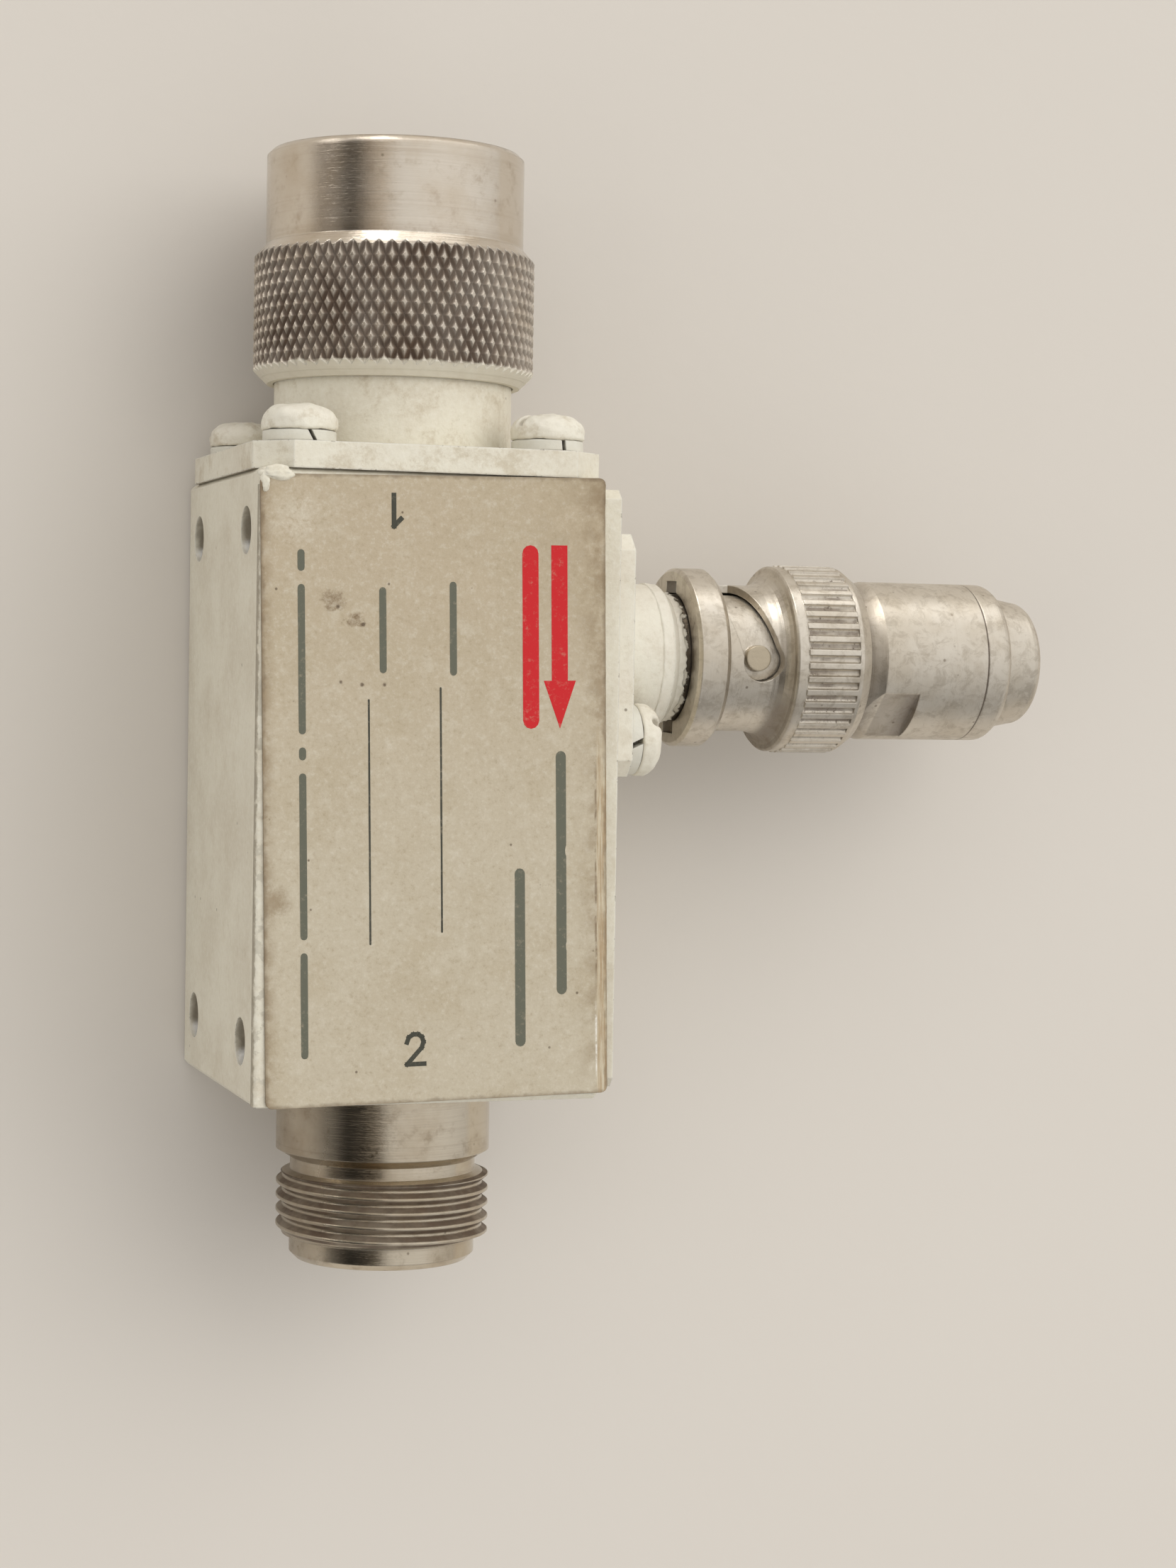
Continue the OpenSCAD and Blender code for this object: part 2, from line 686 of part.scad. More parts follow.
module n_jack_body() {
    r = jack_d / 2;
    rim_r = jack_rim_d / 2;
    thread_r = jack_thread_d / 2;
    color("silver") on_jack_end() difference() {
        rotate_extrude() polygon([
            [0, -jack_spigot_l], [jack_spigot_d / 2, -jack_spigot_l], [jack_spigot_d / 2, 0],
            [r, 0], [r, jack_plain_l], [rim_r, undercut_from],
            [rim_r, thread_from], [thread_r, thread_from + 0.35],
            [thread_r, thread_to - 0.35], [rim_r, thread_to],
            [rim_r, jack_rim - 0.45], [rim_r - 0.45, jack_rim], [0, jack_rim]
        ]);
        rod(line_bore_d, -jack_spigot_l - 1, jack_rim);
        rod(mouth_d, jack_rim - mouth_depth, jack_rim + 1);
        rotate_extrude() polygon([
            [0, jack_rim - 0.6], [mouth_d / 2, jack_rim - 0.6],
            [mouth_d / 2 + 0.6, jack_rim], [mouth_d / 2 + 0.6, jack_rim + 1], [0, jack_rim + 1]
        ]);
    }
}

module n_jack_insulator() {
    color("white") on_jack_end() tube(
        line_bore_d - 2 * fit, conductor_d + 2 * fit, -jack_spigot_l + 1, jack_rim - mouth_depth - 0.4);
}

module n_jack_socket() {
    tip = jack_rim - socket_setback;
    color("gold") on_jack_end() difference() {
        rod(conductor_d, -jack_spigot_l, tip);
        rod(pin_d + 0.06, tip - 5, tip + 1);
        for (a = [0, 90]) rotate(a) translate([-conductor_d, -0.15, tip - 4.2])
            cube([2 * conductor_d, 0.3, 5]);
    }
}

module line_conductor() {
    color("goldenrod") on_plug_end() rod(conductor_d, jack_spigot_l - body_l, 0);
}

module pickup_loop() {
    color("gold") translate([0, port_y, axis_z - strap_w / 2]) {
        translate([loop_x, -loop_run, 0]) cube([strap_t, loop_run + 1.2, strap_w]);
        translate([loop_x, -loop_run, 0]) cube([body_w / 2 - load_l - loop_x, strap_t, strap_w]);
    }
}

module loop_load() {
    color("saddlebrown") on_port_side() translate([0, -loop_run + strap_t / 2, 0]) rod(load_d, -load_l, 0);
}

// Sampling port

module port_jack_body() {
    color("wheat") on_port_side() difference() {
        union() {
            translate([0, 0, port_seat]) linear_extrude(port_flange_t)
                cut_square(port_flange, port_flange, port_flange_cut);
            rotate_extrude() polygon([
                [0, port_seat], [port_neck_d / 2, port_seat], [port_neck_d / 2, neck_front],
                [barrel_d / 2, neck_front + (port_neck_d - barrel_d) / 2],
                [barrel_d / 2, barrel_front - 0.4], [barrel_d / 2 - 0.4, barrel_front], [0, barrel_front]
            ]);
            translate([0, 0, lug_at]) rotate([0, 90, 0]) rod(lug_d, -lug_span / 2, lug_span / 2);
        }
        rod(port_insulator_d + 2 * fit, 0, barrel_front);
        rod(barrel_bore_d, bore_floor, barrel_front + 1);
        four_holes(port_pitch, screw_clear_d, 0, flange_front + 1);
    }
}

module port_insulator() {
    color("white") on_port_side()
        tube(port_insulator_d, socket_d + 2 * fit, -cover_t / 2, bore_floor + port_insulator_rise);
}

module port_socket() {
    tip = bore_floor + socket_rise;
    tail = loop_x + strap_t - body_w / 2;
    color("gold") on_port_side() difference() {
        union() {
            rod(socket_d, -cover_t, tip);
            rod(socket_tail_d, tail, 0);
        }
        rod(plug_pin_d + 0.1, tip - 5, tip + 1);
        for (a = [0, 90]) rotate(a) translate([-2, -0.15, tip - 3.8]) cube([4, 0.3, 5]);
    }
}

module port_screws() {
    color("wheat") on_port_side() for (c = PORT_CORNERS)
        translate([c[0] * port_pitch / 2, c[1] * port_pitch / 2, flange_front + washer_t])
            rotate(35 * c[1]) pan_screw(flange_front + washer_t + port_screw_reach);
}

module port_lock_washers() {
    color("gainsboro") on_port_side() for (i = [0:2])
        translate([PORT_CORNERS[i][0] * port_pitch / 2, PORT_CORNERS[i][1] * port_pitch / 2, flange_front])
            lock_washer(PORT_SPLITS[i]);
}

// Bayonet termination

// Solid swept along the bayonet cam: a band between two radii, low below and high above the lug's path,
// from the locked end at lug_angle to the entry, one lift nearer to the sleeve's mouth.
// Near the locked end it reaches further out, to pass through the flare of the grip.
module cam_band(lug_angle, r_in, r_out, low, high) {
    steps = 24;
    last = 4 * steps;
    flare_turn = 40;
    points = [
        for (i = [0:steps], k = [0:3])
            let (
                turn = cam_turn * i / steps,
                a = lug_angle - turn,
                r_far = r_out + slot_flare * max(0, 1 - turn / flare_turn),
                r = (k == 0 || k == 3) ? r_in : r_far,
                h = lug_at - cam_lift * i / steps + (k < 2 ? -low : high)
            ) [r * cos(a), r * sin(a), h]
    ];
    sides = [
        for (i = [0:steps - 1], k = [0:3])
            let (p = 4 * i + k, q = 4 * i + (k + 1) % 4)
                each [[p, q + 4, q], [p, p + 4, q + 4]]
    ];
    ends = [[1, 2, 3], [0, 1, 3], [last + 2, last + 1, last], [last + 3, last + 2, last]];
    polyhedron(points = points, faces = concat(sides, ends), convexity = 6);
}

module cam_slot(lug_angle) {
    room = lug_d + 2 * slot_gap;
    groove_r = lug_span / 2 + 0.35;
    low = room / 2 / cos(atan2(cam_lift, cam_turn * PI / 180 * barrel_d / 2));
    high = low + slot_play;
    entry = lug_at - cam_lift;
    cam_band(lug_angle, barrel_d / 2 - 0.3, groove_r, low, high);
    rotate(lug_angle + 2) translate([0, 0, lug_at + (high - low) / 2]) rotate([0, 90, 0])
        rod(low + high + 0.1, 0, groove_r + slot_flare + 0.05);
    rotate(lug_angle - cam_turn) translate([0, -room / 2, sleeve_mouth - 1])
        cube([groove_r - 0.05, room, entry + 0.45 * room - sleeve_mouth + 1]);
}

module bayonet_sleeve() {
    ring_r = sleeve_ring_d / 2;
    waist_r = sleeve_waist_d / 2;
    grip_r = grip_d / 2;
    ring_end = sleeve_mouth + sleeve_ring_l;
    room_from = barrel_front - 0.5;
    lip_r = shank_d / 2 + running;
    shoulder = grip_start - 0.9;
    flare_r = grip_r - 0.25 - waist_r;
    color("lightgray") on_port_side() difference() {
        union() {
            rotate_extrude() polygon(concat(
                [
                    [sleeve_bore_d / 2, sleeve_mouth], [ring_r - 0.25, sleeve_mouth],
                    [ring_r, sleeve_mouth + 0.25], [ring_r, ring_end],
                    [ring_r - 0.35, ring_end + 0.4], [waist_r, ring_end + 0.6]
                ],
                [for (a = [0:15:75]) [waist_r + flare_r * (1 - cos(a)),
                    cone_start + (shoulder - cone_start) * sin(a)]],
                [
                    [grip_r - 0.25, shoulder], [grip_r - 0.1, shoulder + 0.15],
                    [grip_r - 0.1, grip_start + eps],
                    [grip_r - 0.6, grip_start + eps], [grip_r - 0.6, grip_end - eps],
                    [grip_r - 0.1, grip_end - eps], [grip_r - 0.1, grip_end + 0.3],
                    [grip_r - 0.75, sleeve_back],
                    [lip_r + 1.1, sleeve_back], [lip_r + 1.1, lip_from + lip_t],
                    [lip_r, lip_from + lip_t], [lip_r, lip_from],
                    [sleeve_room_d / 2, lip_from], [sleeve_room_d / 2, room_from],
                    [sleeve_bore_d / 2, room_from]
                ]
            ));
            translate([0, 0, grip_start]) linear_extrude(flute_l) difference() {
                circle(r = grip_r);
                circle(r = grip_r - 0.8);
                for (i = [0:flute_count - 1]) rotate(i * 360 / flute_count)
                    translate([grip_r + 0.03, 0]) circle(r = flute_depth + 0.03, $fn = 24);
            }
        }
        for (a = [0, 180]) cam_slot(a);
    }
}

module plug_shell() {
    r = plug_contact_od / 2;
    tip = bore_floor + 0.6;
    groove = lip_from + lip_t + 0.1;
    color("silver") on_port_side() difference() {
        rotate_extrude() polygon([
            [plug_bore_d / 2, tip], [r - 0.25, tip], [r, tip + 0.4], [r, shell_seat],
            [shell_flange_d / 2, shell_seat], [shell_flange_d / 2, shell_seat + shell_flange_t],
            [shank_d / 2, shell_seat + shell_flange_t], [shank_d / 2, groove],
            [shank_d / 2 - 0.4, groove], [shank_d / 2 - 0.4, groove + 0.6], [shank_d / 2, groove + 0.6],
            [shank_d / 2, shank_end], [plug_bore_d / 2, shank_end]
        ]);
        for (a = [45, 135]) rotate(a) translate([-r - 1, -0.15, tip - 1]) cube([2 * r + 2, 0.3, 6]);
    }
}

module plug_gasket() {
    color("firebrick") on_port_side()
        tube(barrel_d - 0.3, plug_contact_od + 0.1, barrel_front + 0.1, shell_seat);
}

module plug_insulator() {
    from = bore_floor + port_insulator_rise + 0.3;
    color("white") on_port_side()
        tube(plug_bore_d - 2 * fit, plug_pin_d + 2 * fit, from, shank_end - 1);
}

module plug_pin() {
    tip = bore_floor + 1;
    color("gold") on_port_side() rotate_extrude() polygon([
        [0, tip], [0.25, tip], [plug_pin_d / 2, tip + 0.8],
        [plug_pin_d / 2, shank_end + 0.2], [0, shank_end + 0.2]
    ]);
}

module spring_washer() {
    back = shell_seat + shell_flange_t;
    inner = shank_d / 2 + 0.15;
    outer = shell_flange_d / 2 - 0.05;
    color("darkgray") on_port_side() rotate_extrude() polygon([
        [inner, back + 0.42], [inner, back + 0.7], [outer, back + 0.28], [outer, back]
    ]);
}

module sleeve_retaining_ring() {
    from = lip_from + lip_t + 0.13;
    color("silver") on_port_side() retaining_ring(
        shank_d - 0.74, shank_d + 1.4, from, from + 0.54, 1.6);
}

module termination_housing() {
    r = housing_d / 2;
    color("gainsboro") on_port_side() difference() {
        rotate_extrude() polygon([
            [shank_d / 2 + fit, housing_front], [r - 0.7, housing_front], [r, housing_front + 1.3],
            [r, housing_back], [housing_bore_d / 2, housing_back],
            [housing_bore_d / 2, shank_end], [shank_d / 2 + fit, shank_end]
        ]);
        rotate(flat_turn) for (a = [0, 180]) rotate(a)
            translate([flat_af / 2, -r, housing_front - 1]) cube([r, 2 * r, flat_l + 1]);
    }
}

module termination_resistor() {
    from = shank_end + 0.2;
    to = housing_back - cap_spigot_l;
    color("peru") on_port_side() {
        rod(resistor_d, from, to - 0.8);
        rod(0.7, to - 0.8 - eps, to);
    }
}

module termination_end_cap() {
    r = housing_d / 2;
    nose_r = nose_d / 2;
    rim_end = housing_back + cap_rim_l;
    end = rim_end + nose_l;
    color("gainsboro") on_port_side() rotate_extrude() polygon(concat(
        [
            [0, housing_back - cap_spigot_l], [housing_bore_d / 2 - fit, housing_back - cap_spigot_l],
            [housing_bore_d / 2 - fit, housing_back], [r - 0.12, housing_back], [r, housing_back + 0.12]
        ],
        [for (a = [0:15:90]) [r - 0.9 + 0.9 * cos(a), rim_end - 0.9 + 0.9 * sin(a)]],
        [for (a = [0:15:90]) [nose_r - 1.1 + 1.1 * cos(a), end - 1.1 + 1.1 * sin(a)]],
        [[0, end]]
    ));
}

body_block();
side_cover();
cover_screws();
label_plate();
n_plug_body();
n_plug_insulator();
n_plug_pin();
n_plug_gasket();
nut_retaining_ring();
flange_screws();
flange_lock_washers();
n_coupling_nut();
n_jack_body();
n_jack_insulator();
n_jack_socket();
line_conductor();
pickup_loop();
loop_load();
port_jack_body();
port_insulator();
port_socket();
port_screws();
port_lock_washers();
bayonet_sleeve();
plug_shell();
plug_gasket();
plug_insulator();
plug_pin();
spring_washer();
sleeve_retaining_ring();
termination_housing();
termination_resistor();
termination_end_cap();
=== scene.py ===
import json
import math

import bmesh
import bpy
from mathutils import Matrix, Vector, noise


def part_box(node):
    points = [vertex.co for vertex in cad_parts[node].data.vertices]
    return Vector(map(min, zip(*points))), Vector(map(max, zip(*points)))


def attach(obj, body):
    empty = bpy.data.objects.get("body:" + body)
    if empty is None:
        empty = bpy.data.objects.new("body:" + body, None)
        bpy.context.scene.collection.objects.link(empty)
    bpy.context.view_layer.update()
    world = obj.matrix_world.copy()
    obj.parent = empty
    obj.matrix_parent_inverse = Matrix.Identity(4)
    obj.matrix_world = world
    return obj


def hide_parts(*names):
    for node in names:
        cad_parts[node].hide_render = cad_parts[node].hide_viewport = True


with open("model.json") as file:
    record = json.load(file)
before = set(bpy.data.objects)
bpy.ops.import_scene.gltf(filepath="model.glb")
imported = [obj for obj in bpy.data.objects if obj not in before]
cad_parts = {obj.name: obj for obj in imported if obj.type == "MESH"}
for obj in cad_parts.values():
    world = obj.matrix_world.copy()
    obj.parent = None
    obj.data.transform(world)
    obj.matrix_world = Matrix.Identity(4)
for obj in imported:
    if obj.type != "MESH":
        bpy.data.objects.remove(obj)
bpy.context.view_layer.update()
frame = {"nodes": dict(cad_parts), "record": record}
scene = bpy.context.scene
nodes = frame["nodes"]

# Lengths of the object are millimetres, lengths of the stage are metres
MM = 0.001


def box_mm(node):
    """A CAD node's lowest and highest corners at rest, in millimetres."""
    return [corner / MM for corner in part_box(node)]


# Places that the frame gives
BLOCK_LOW, BLOCK_HIGH = box_mm("body_block")
JACK_LOW, JACK_HIGH = box_mm("n_jack_body")
NUT_LOW, NUT_HIGH = box_mm("n_coupling_nut")
PORT_LOW, PORT_HIGH = box_mm("port_jack_body")
SLEEVE_LOW, SLEEVE_HIGH = box_mm("bayonet_sleeve")
HOUSING_LOW, HOUSING_HIGH = box_mm("termination_housing")
WASHER_LOW, WASHER_HIGH = box_mm("flange_lock_washers")
MOUNTS = {mount["name"]: mount["dims"] for mount in frame["record"]["mounts"]}
HOLES = MOUNTS["side_holes"]

# Axes of the two connectors
LINE_Z = (BLOCK_LOW.z + BLOCK_HIGH.z) / 2
PORT_Y = (PORT_LOW.y + PORT_HIGH.y) / 2
# The block's left side, its upper and lower ends and its front
LEFT = BLOCK_LOW.x
UPPER_END = BLOCK_HIGH.y
LOWER_END = BLOCK_LOW.y
FRONT = BLOCK_HIGH.z
# Spacing of the screws on the two flanges, and the size of their heads
FLANGE_PITCH = 18.26
PORT_PITCH = 12.4
HEAD_R = 2.675
HEAD_H = 1.95
# Threads of the jack and the nut: 24 to the inch
THREAD_PITCH = 25.4 / 24.0
THREAD_R = MOUNTS["jack_thread"]["r_mm"]
THREAD_DEPTH = 0.5
# Where the jack's thread begins and ends below the block
THREAD_FROM = 6.43
THREAD_TO = 11.43
# The knurl's radius, and its dirty stretch along the line
KNURL_R = NUT_HIGH.x
KNURL = (NUT_LOW.y + 1.055, NUT_LOW.y + 9.355)
# The sleeve's mouth, its flutes and the hollow before them, along the port
MOUTH = SLEEVE_LOW.x
FLUTES = (SLEEVE_HIGH.x - 5.25, SLEEVE_HIGH.x - 1.3)
FLUTE_ROOT_R = 6.95
HOLLOW = (SLEEVE_LOW.x + 6.6, SLEEVE_LOW.x + 7.9)
# The termination's housing
HOUSING_R = HOUSING_HIGH.z - LINE_Z
# The label: its middle on the block, half its width and length, and how crooked it is
LABEL_AT = (0.25, 0.0, FRONT)
LABEL_HALF = (BLOCK_HIGH.x - 0.2, BLOCK_HIGH.y - 0.225)
LABEL_SIDE = LABEL_HALF[0]
LABEL_CORNER = 0.5
SKEW = math.radians(1.2)


def srgb(red, green, blue):
    """A colour given in 0 to 255 display values, as linear RGBA."""
    linear = []
    for value in (red, green, blue):
        value /= 255.0
        linear.append(value / 12.92 if value <= 0.04045 else ((value + 0.055) / 1.055) ** 2.4)
    return (*linear, 1.0)


# Materials

class Look:
    """A material's node tree, made with short calls. Lengths are millimetres, tones are display values."""

    # The Mix node's A, B and result sockets for colours and for vectors
    COLOUR_SOCKETS = (6, 7, 2)
    VECTOR_SOCKETS = (4, 5, 1)

    def __init__(self, name):
        self.material = bpy.data.materials.new(name)
        self.material.use_nodes = True
        self.tree = self.material.node_tree
        self.tree.nodes.clear()
        place = self.add("ShaderNodeTexCoord").outputs["Object"]
        self.place = self.vector("MULTIPLY", place, (1.0 / MM,) * 3)
        split = self.add("ShaderNodeSeparateXYZ")
        self.put(split.inputs[0], self.place)
        self.x, self.y, self.z = split.outputs

    def add(self, kind, **props):
        """A new node with those properties."""
        node = self.tree.nodes.new(kind)
        for key, value in props.items():
            setattr(node, key, value)
        return node

    def put(self, socket, value):
        """Links a socket or sets a value. None leaves the socket as it is."""
        if isinstance(value, bpy.types.NodeSocket):
            self.tree.links.new(value, socket)
        elif value is not None:
            socket.default_value = value

    def feed(self, node, *values, **named):
        """Feeds a node's inputs in order or by name, and returns its first output."""
        for socket, value in zip(node.inputs, values):
            self.put(socket, value)
        for key, value in named.items():
            self.put(node.inputs[key.replace("_", " ")], value)
        return node.outputs[0]

    def math(self, operation, *values):
        return self.feed(self.add("ShaderNodeMath", operation=operation), *values)

    def plus(self, one, two):
        return self.math("ADD", one, two)

    def minus(self, one, two):
        return self.math("SUBTRACT", one, two)

    def chain(self, operation, made, *values):
        for value in values:
            made = self.math(operation, made, value)
        return made

    def times(self, *values):
        return self.chain("MULTIPLY", *values)

    def most(self, *values):
        return self.chain("MAXIMUM", *values)

    def vector(self, operation, one, two=None):
        node = self.add("ShaderNodeVectorMath", operation=operation)
        self.feed(node, one, two)
        return node.outputs["Value" if operation in ("LENGTH", "DOT_PRODUCT") else "Vector"]

    def xyz(self, x, y, z):
        return self.feed(self.add("ShaderNodeCombineXYZ"), x, y, z)

    def noise(self, scale, detail=3.0, rough=0.55, place=None, distort=0.0):
        return self.feed(self.add("ShaderNodeTexNoise"), Vector=self.place if place is None else place,
                         Scale=scale, Detail=detail, Roughness=rough, Distortion=distort)

    def ragged(self, value, amount, *grain, centre=0.0):
        """A value roughened by noise of that grain, whose level centre changes nothing."""
        lump = self.noise(*grain)
        if centre:
            lump = self.minus(lump, centre)
        return self.plus(value, self.times(lump, amount))

    def specks(self, scale, size, share):
        """Scattered specks: cells of that scale, with soft limits for their size and for which have one."""
        node = self.add("ShaderNodeTexVoronoi")
        self.feed(node, Vector=self.place, Scale=scale)
        picked = self.step(node.outputs["Color"], *share)
        return self.times(self.fade(node.outputs["Distance"], *size), picked)

    def map_range(self, kind, *values):
        return self.feed(self.add("ShaderNodeMapRange", interpolation_type=kind), *values)

    def step(self, value, low, high):
        """0 at low and below, 1 at high and above, smooth between them."""
        return self.map_range("SMOOTHSTEP", value, low, high, 0.0, 1.0)

    def fade(self, value, low, high):
        """1 at low and below, 0 at high and above, smooth between them."""
        return self.minus(1.0, self.step(value, low, high))

    def band(self, value, low, high, soft):
        """1 between low and high, falling off over soft."""
        return self.times(self.step(value, low - soft, low + soft),
                          self.fade(value, high - soft, high + soft))

    def lerp(self, share, start, end):
        return self.map_range("LINEAR", share, 0.0, 1.0, start, end)

    def blend(self, kind, sockets, share, one, two):
        node = self.add("ShaderNodeMix", data_type=kind)
        first, second, result = sockets
        self.put(node.inputs[0], share)
        self.put(node.inputs[first], one)
        self.put(node.inputs[second], two)
        return node.outputs[result]

    def mix(self, share, one, two):
        """Between two colours."""
        return self.blend("RGBA", self.COLOUR_SOCKETS, share, one, two)

    def mix_way(self, share, one, two):
        """Between two directions."""
        return self.vector("NORMALIZE", self.blend("VECTOR", self.VECTOR_SOCKETS, share, one, two))

    def cover(self, colour, tone, strength, *masks):
        """A tone laid over a colour where all the masks are, at that strength."""
        return self.mix(self.times(*masks, strength), colour, srgb(*tone))

    def crevice(self, reach):
        """1 in corners and gaps narrower than reach, 0 in the open."""
        node = self.add("ShaderNodeAmbientOcclusion", samples=6)
        self.feed(node, Distance=reach * MM)
        return self.minus(1.0, node.outputs["AO"])

    def round_edges(self, radius):
        return self.feed(self.add("ShaderNodeBevel", samples=5), Radius=radius * MM)

    def edge_wear_and_highlight(self, radius):
        """How much of a rounded edge the surface shows, and the normal of that rounding."""
        rounded = self.round_edges(radius)
        true = self.add("ShaderNodeNewGeometry").outputs["Normal"]
        return self.minus(1.0, self.vector("DOT_PRODUCT", rounded, true)), rounded

    def bump(self, height, depth, normal=None):
        """Relief whose full height is depth."""
        return self.feed(self.add("ShaderNodeBump"), Strength=1.0, Distance=depth * MM, Height=height,
                         Normal=normal)

    def radius(self, axis):
        """Distance from the connector axis that runs along Y or X."""
        up = self.minus(self.z, LINE_Z)
        if axis == "y":
            return self.vector("LENGTH", self.xyz(self.x, 0.0, up))
        return self.vector("LENGTH", self.xyz(0.0, self.minus(self.y, PORT_Y), up))

    def surface(self, **inputs):
        """The finished material, with those inputs of its shader."""
        shader = self.feed(self.add("ShaderNodeBsdfPrincipled"), **inputs)
        self.put(self.add("ShaderNodeOutputMaterial").inputs["Surface"], shader)
        return self.material


def paint_layers(look, edge=0.2, stained=0.25, white=0.0):
    """Colour, roughness and normal of the thick cream paint, with painted highlights along its edges and
    dirt with painted shade in its crevices.
    """
    cloud = look.noise(0.16, 3.0)
    mottle = look.noise(2.2, 5.0, 0.7)
    grit = look.noise(6.0, 3.0, 0.65)
    light = srgb(222 + 8 * white, 217 + 10 * white, 200 + 14 * white)
    dull = srgb(212 + 12 * white, 205 + 13 * white, 187 + 18 * white)
    colour = look.mix(look.step(cloud, 0.35, 0.68), light, dull)
    colour = look.cover(colour, (232, 229, 217), 0.45, look.step(mottle, 0.45, 0.72))
    colour = look.cover(colour, (196, 187, 166), 0.3, look.fade(mottle, 0.3, 0.47))
    stain = look.step(look.noise(0.42, 6.0, 0.78), 0.48, 0.68)
    colour = look.cover(colour, (176, 160, 131), stained, stain)
    colour = look.cover(colour, (104, 90, 70), 0.7, look.specks(0.45, (0.03, 0.07), (0.6, 0.64)))
    edges, normal = look.edge_wear_and_highlight(edge)
    # Painted highlight, partly paint worn thin: edges are lightened
    colour = look.cover(colour, (240, 238, 229), 0.65, look.step(edges, 0.02, 0.12))
    chips = look.step(look.noise(1.5, 6.0, 0.75), 0.57, 0.62)
    colour = look.cover(colour, (112, 100, 82), 0.8, look.step(edges, 0.03, 0.1), chips)
    # Dirt and painted shade: crevices are darkened brown
    patch = look.lerp(look.noise(0.9, 4.0), 0.4, 1.0)
    colour = look.cover(colour, (92, 80, 64), 0.8, look.step(look.crevice(1.1), 0.3, 0.95), patch)
    rough = look.lerp(mottle, 0.44, 0.64)
    normal = look.bump(look.noise(0.55, 2.0, 0.5), 0.06, normal)
    normal = look.bump(mottle, 0.035, normal)
    normal = look.bump(grit, 0.016, normal)
    return colour, rough, normal


def nickel_layers(look, axis, tones, shine):
    """Colour, roughness and normal of dull nickel turned on a lathe about that axis, with painted glints
    along its edges.
    """
    along = look.y if axis == "y" else look.x
    turned = look.xyz(along, look.times(look.radius(axis), 0.6), look.noise(0.06, 1.0))
    rings = look.noise(1.7, 6.0, 0.8, turned)
    film = look.noise(0.65, 5.0, 0.68)
    fine = look.noise(4.5, 5.0, 0.7)
    light, middle, dull = tones
    colour = look.mix(look.step(look.noise(0.22, 4.0, 0.6), 0.38, 0.7), srgb(*light), srgb(*middle))
    colour = look.cover(colour, dull, 0.6, look.step(film, 0.5, 0.78))
    colour = look.cover(colour, dull, 0.35, look.step(rings, 0.5, 0.75))
    colour = look.cover(colour, (104, 90, 72), 0.6, look.specks(0.8, (0.05, 0.12), (0.62, 0.66)))
    rough = look.plus(look.lerp(fine, *shine), look.times(look.step(film, 0.5, 0.75), 0.08))
    edges, normal = look.edge_wear_and_highlight(0.12)
    # Painted highlight: edges are lightened as glints
    colour = look.cover(colour, (232, 227, 217), 0.6, look.step(edges, 0.03, 0.16))
    if axis == "y":
        at_nut_mouth = look.step(look.y, NUT_HIGH.y - 1.345, NUT_HIGH.y - 0.945)
        normal = look.mix_way(at_nut_mouth, normal, look.round_edges(0.45))
    else:
        blotch = look.step(look.noise(0.9, 6.0, 0.75, distort=0.6), 0.46, 0.64)
        colour = look.cover(colour, (160, 149, 132), 0.42, blotch)
        normal = look.bump(film, 0.03, normal)
    normal = look.bump(rings, 0.03, normal)
    normal = look.bump(fine, 0.004, normal)
    return colour, rough, normal


def paint(name, **style):
    """The cream paint in one style."""
    look = Look(name)
    colour, rough, normal = paint_layers(look, **style)
    return look.surface(Base_Color=colour, Roughness=rough, Normal=normal)


def block_paint():
    """Paint on the block, and bare metal in the four tapped holes of its left side, with a painted glint at
    the lower end of each hole.
    """
    look = Look("block_paint")
    colour, rough, normal = paint_layers(look, edge=0.13, stained=0.18)
    hole_y = look.minus(look.y, look.times(look.math("SIGN", look.y), HOLES["spacing_x_mm"] / 2))
    hole_z = look.minus(look.math("ABSOLUTE", look.minus(look.z, LINE_Z)), HOLES["spacing_y_mm"] / 2)
    away = look.vector("LENGTH", look.xyz(0.0, hole_y, hole_z))
    inside = look.math("LESS_THAN", away, HOLES["hole_r_mm"] + 0.03)
    bare = look.times(inside, look.step(look.ragged(look.x, 0.6, 1.5, 3.0), LEFT + 0.2, LEFT + 0.8))
    metal = look.mix(look.noise(2.0, 4.0), srgb(150, 141, 124), srgb(178, 169, 152))
    # Painted glint: the lower end of each hole is drawn near white
    painted_glint = look.fade(look.ragged(hole_y, 0.5, 1.2, 2.0), -0.9, -0.2)
    metal = look.mix(painted_glint, metal, srgb(250, 249, 246))
    return look.surface(Base_Color=look.mix(bare, colour, metal), Roughness=look.lerp(bare, rough, 0.32),
                        Metallic=look.times(bare, 0.3), Normal=normal)


def edge_paint():
    """Thick paint on the block's front left edge, rubbed through along its rim."""
    look = Look("edge_paint")
    colour, rough, normal = paint_layers(look, edge=0.07, stained=0.3, white=0.2)
    stretch = look.step(look.noise(0.2, 2.0), 0.38, 0.5)
    rubbed = look.step(look.noise(0.75, 5.0, 0.6), 0.5, 0.56)
    colour = look.cover(colour, (182, 176, 160), 0.6, rubbed, stretch)
    rim = look.fade(look.ragged(look.x, 0.3, 1.3, 4.0, 0.7), LEFT + 0.18, LEFT + 0.28)
    colour = look.cover(colour, (140, 130, 112), 0.75, rim)
    return look.surface(Base_Color=colour, Roughness=rough, Normal=normal)


# Light, middle and dull tones of each plating
BRIGHT_NICKEL = ((215, 206, 193), (205, 193, 176), (172, 156, 135))
SATIN_NICKEL = ((216, 209, 197), (205, 196, 181), (182, 171, 154))
STAINED_NICKEL = ((206, 196, 178), (190, 177, 156), (144, 128, 105))


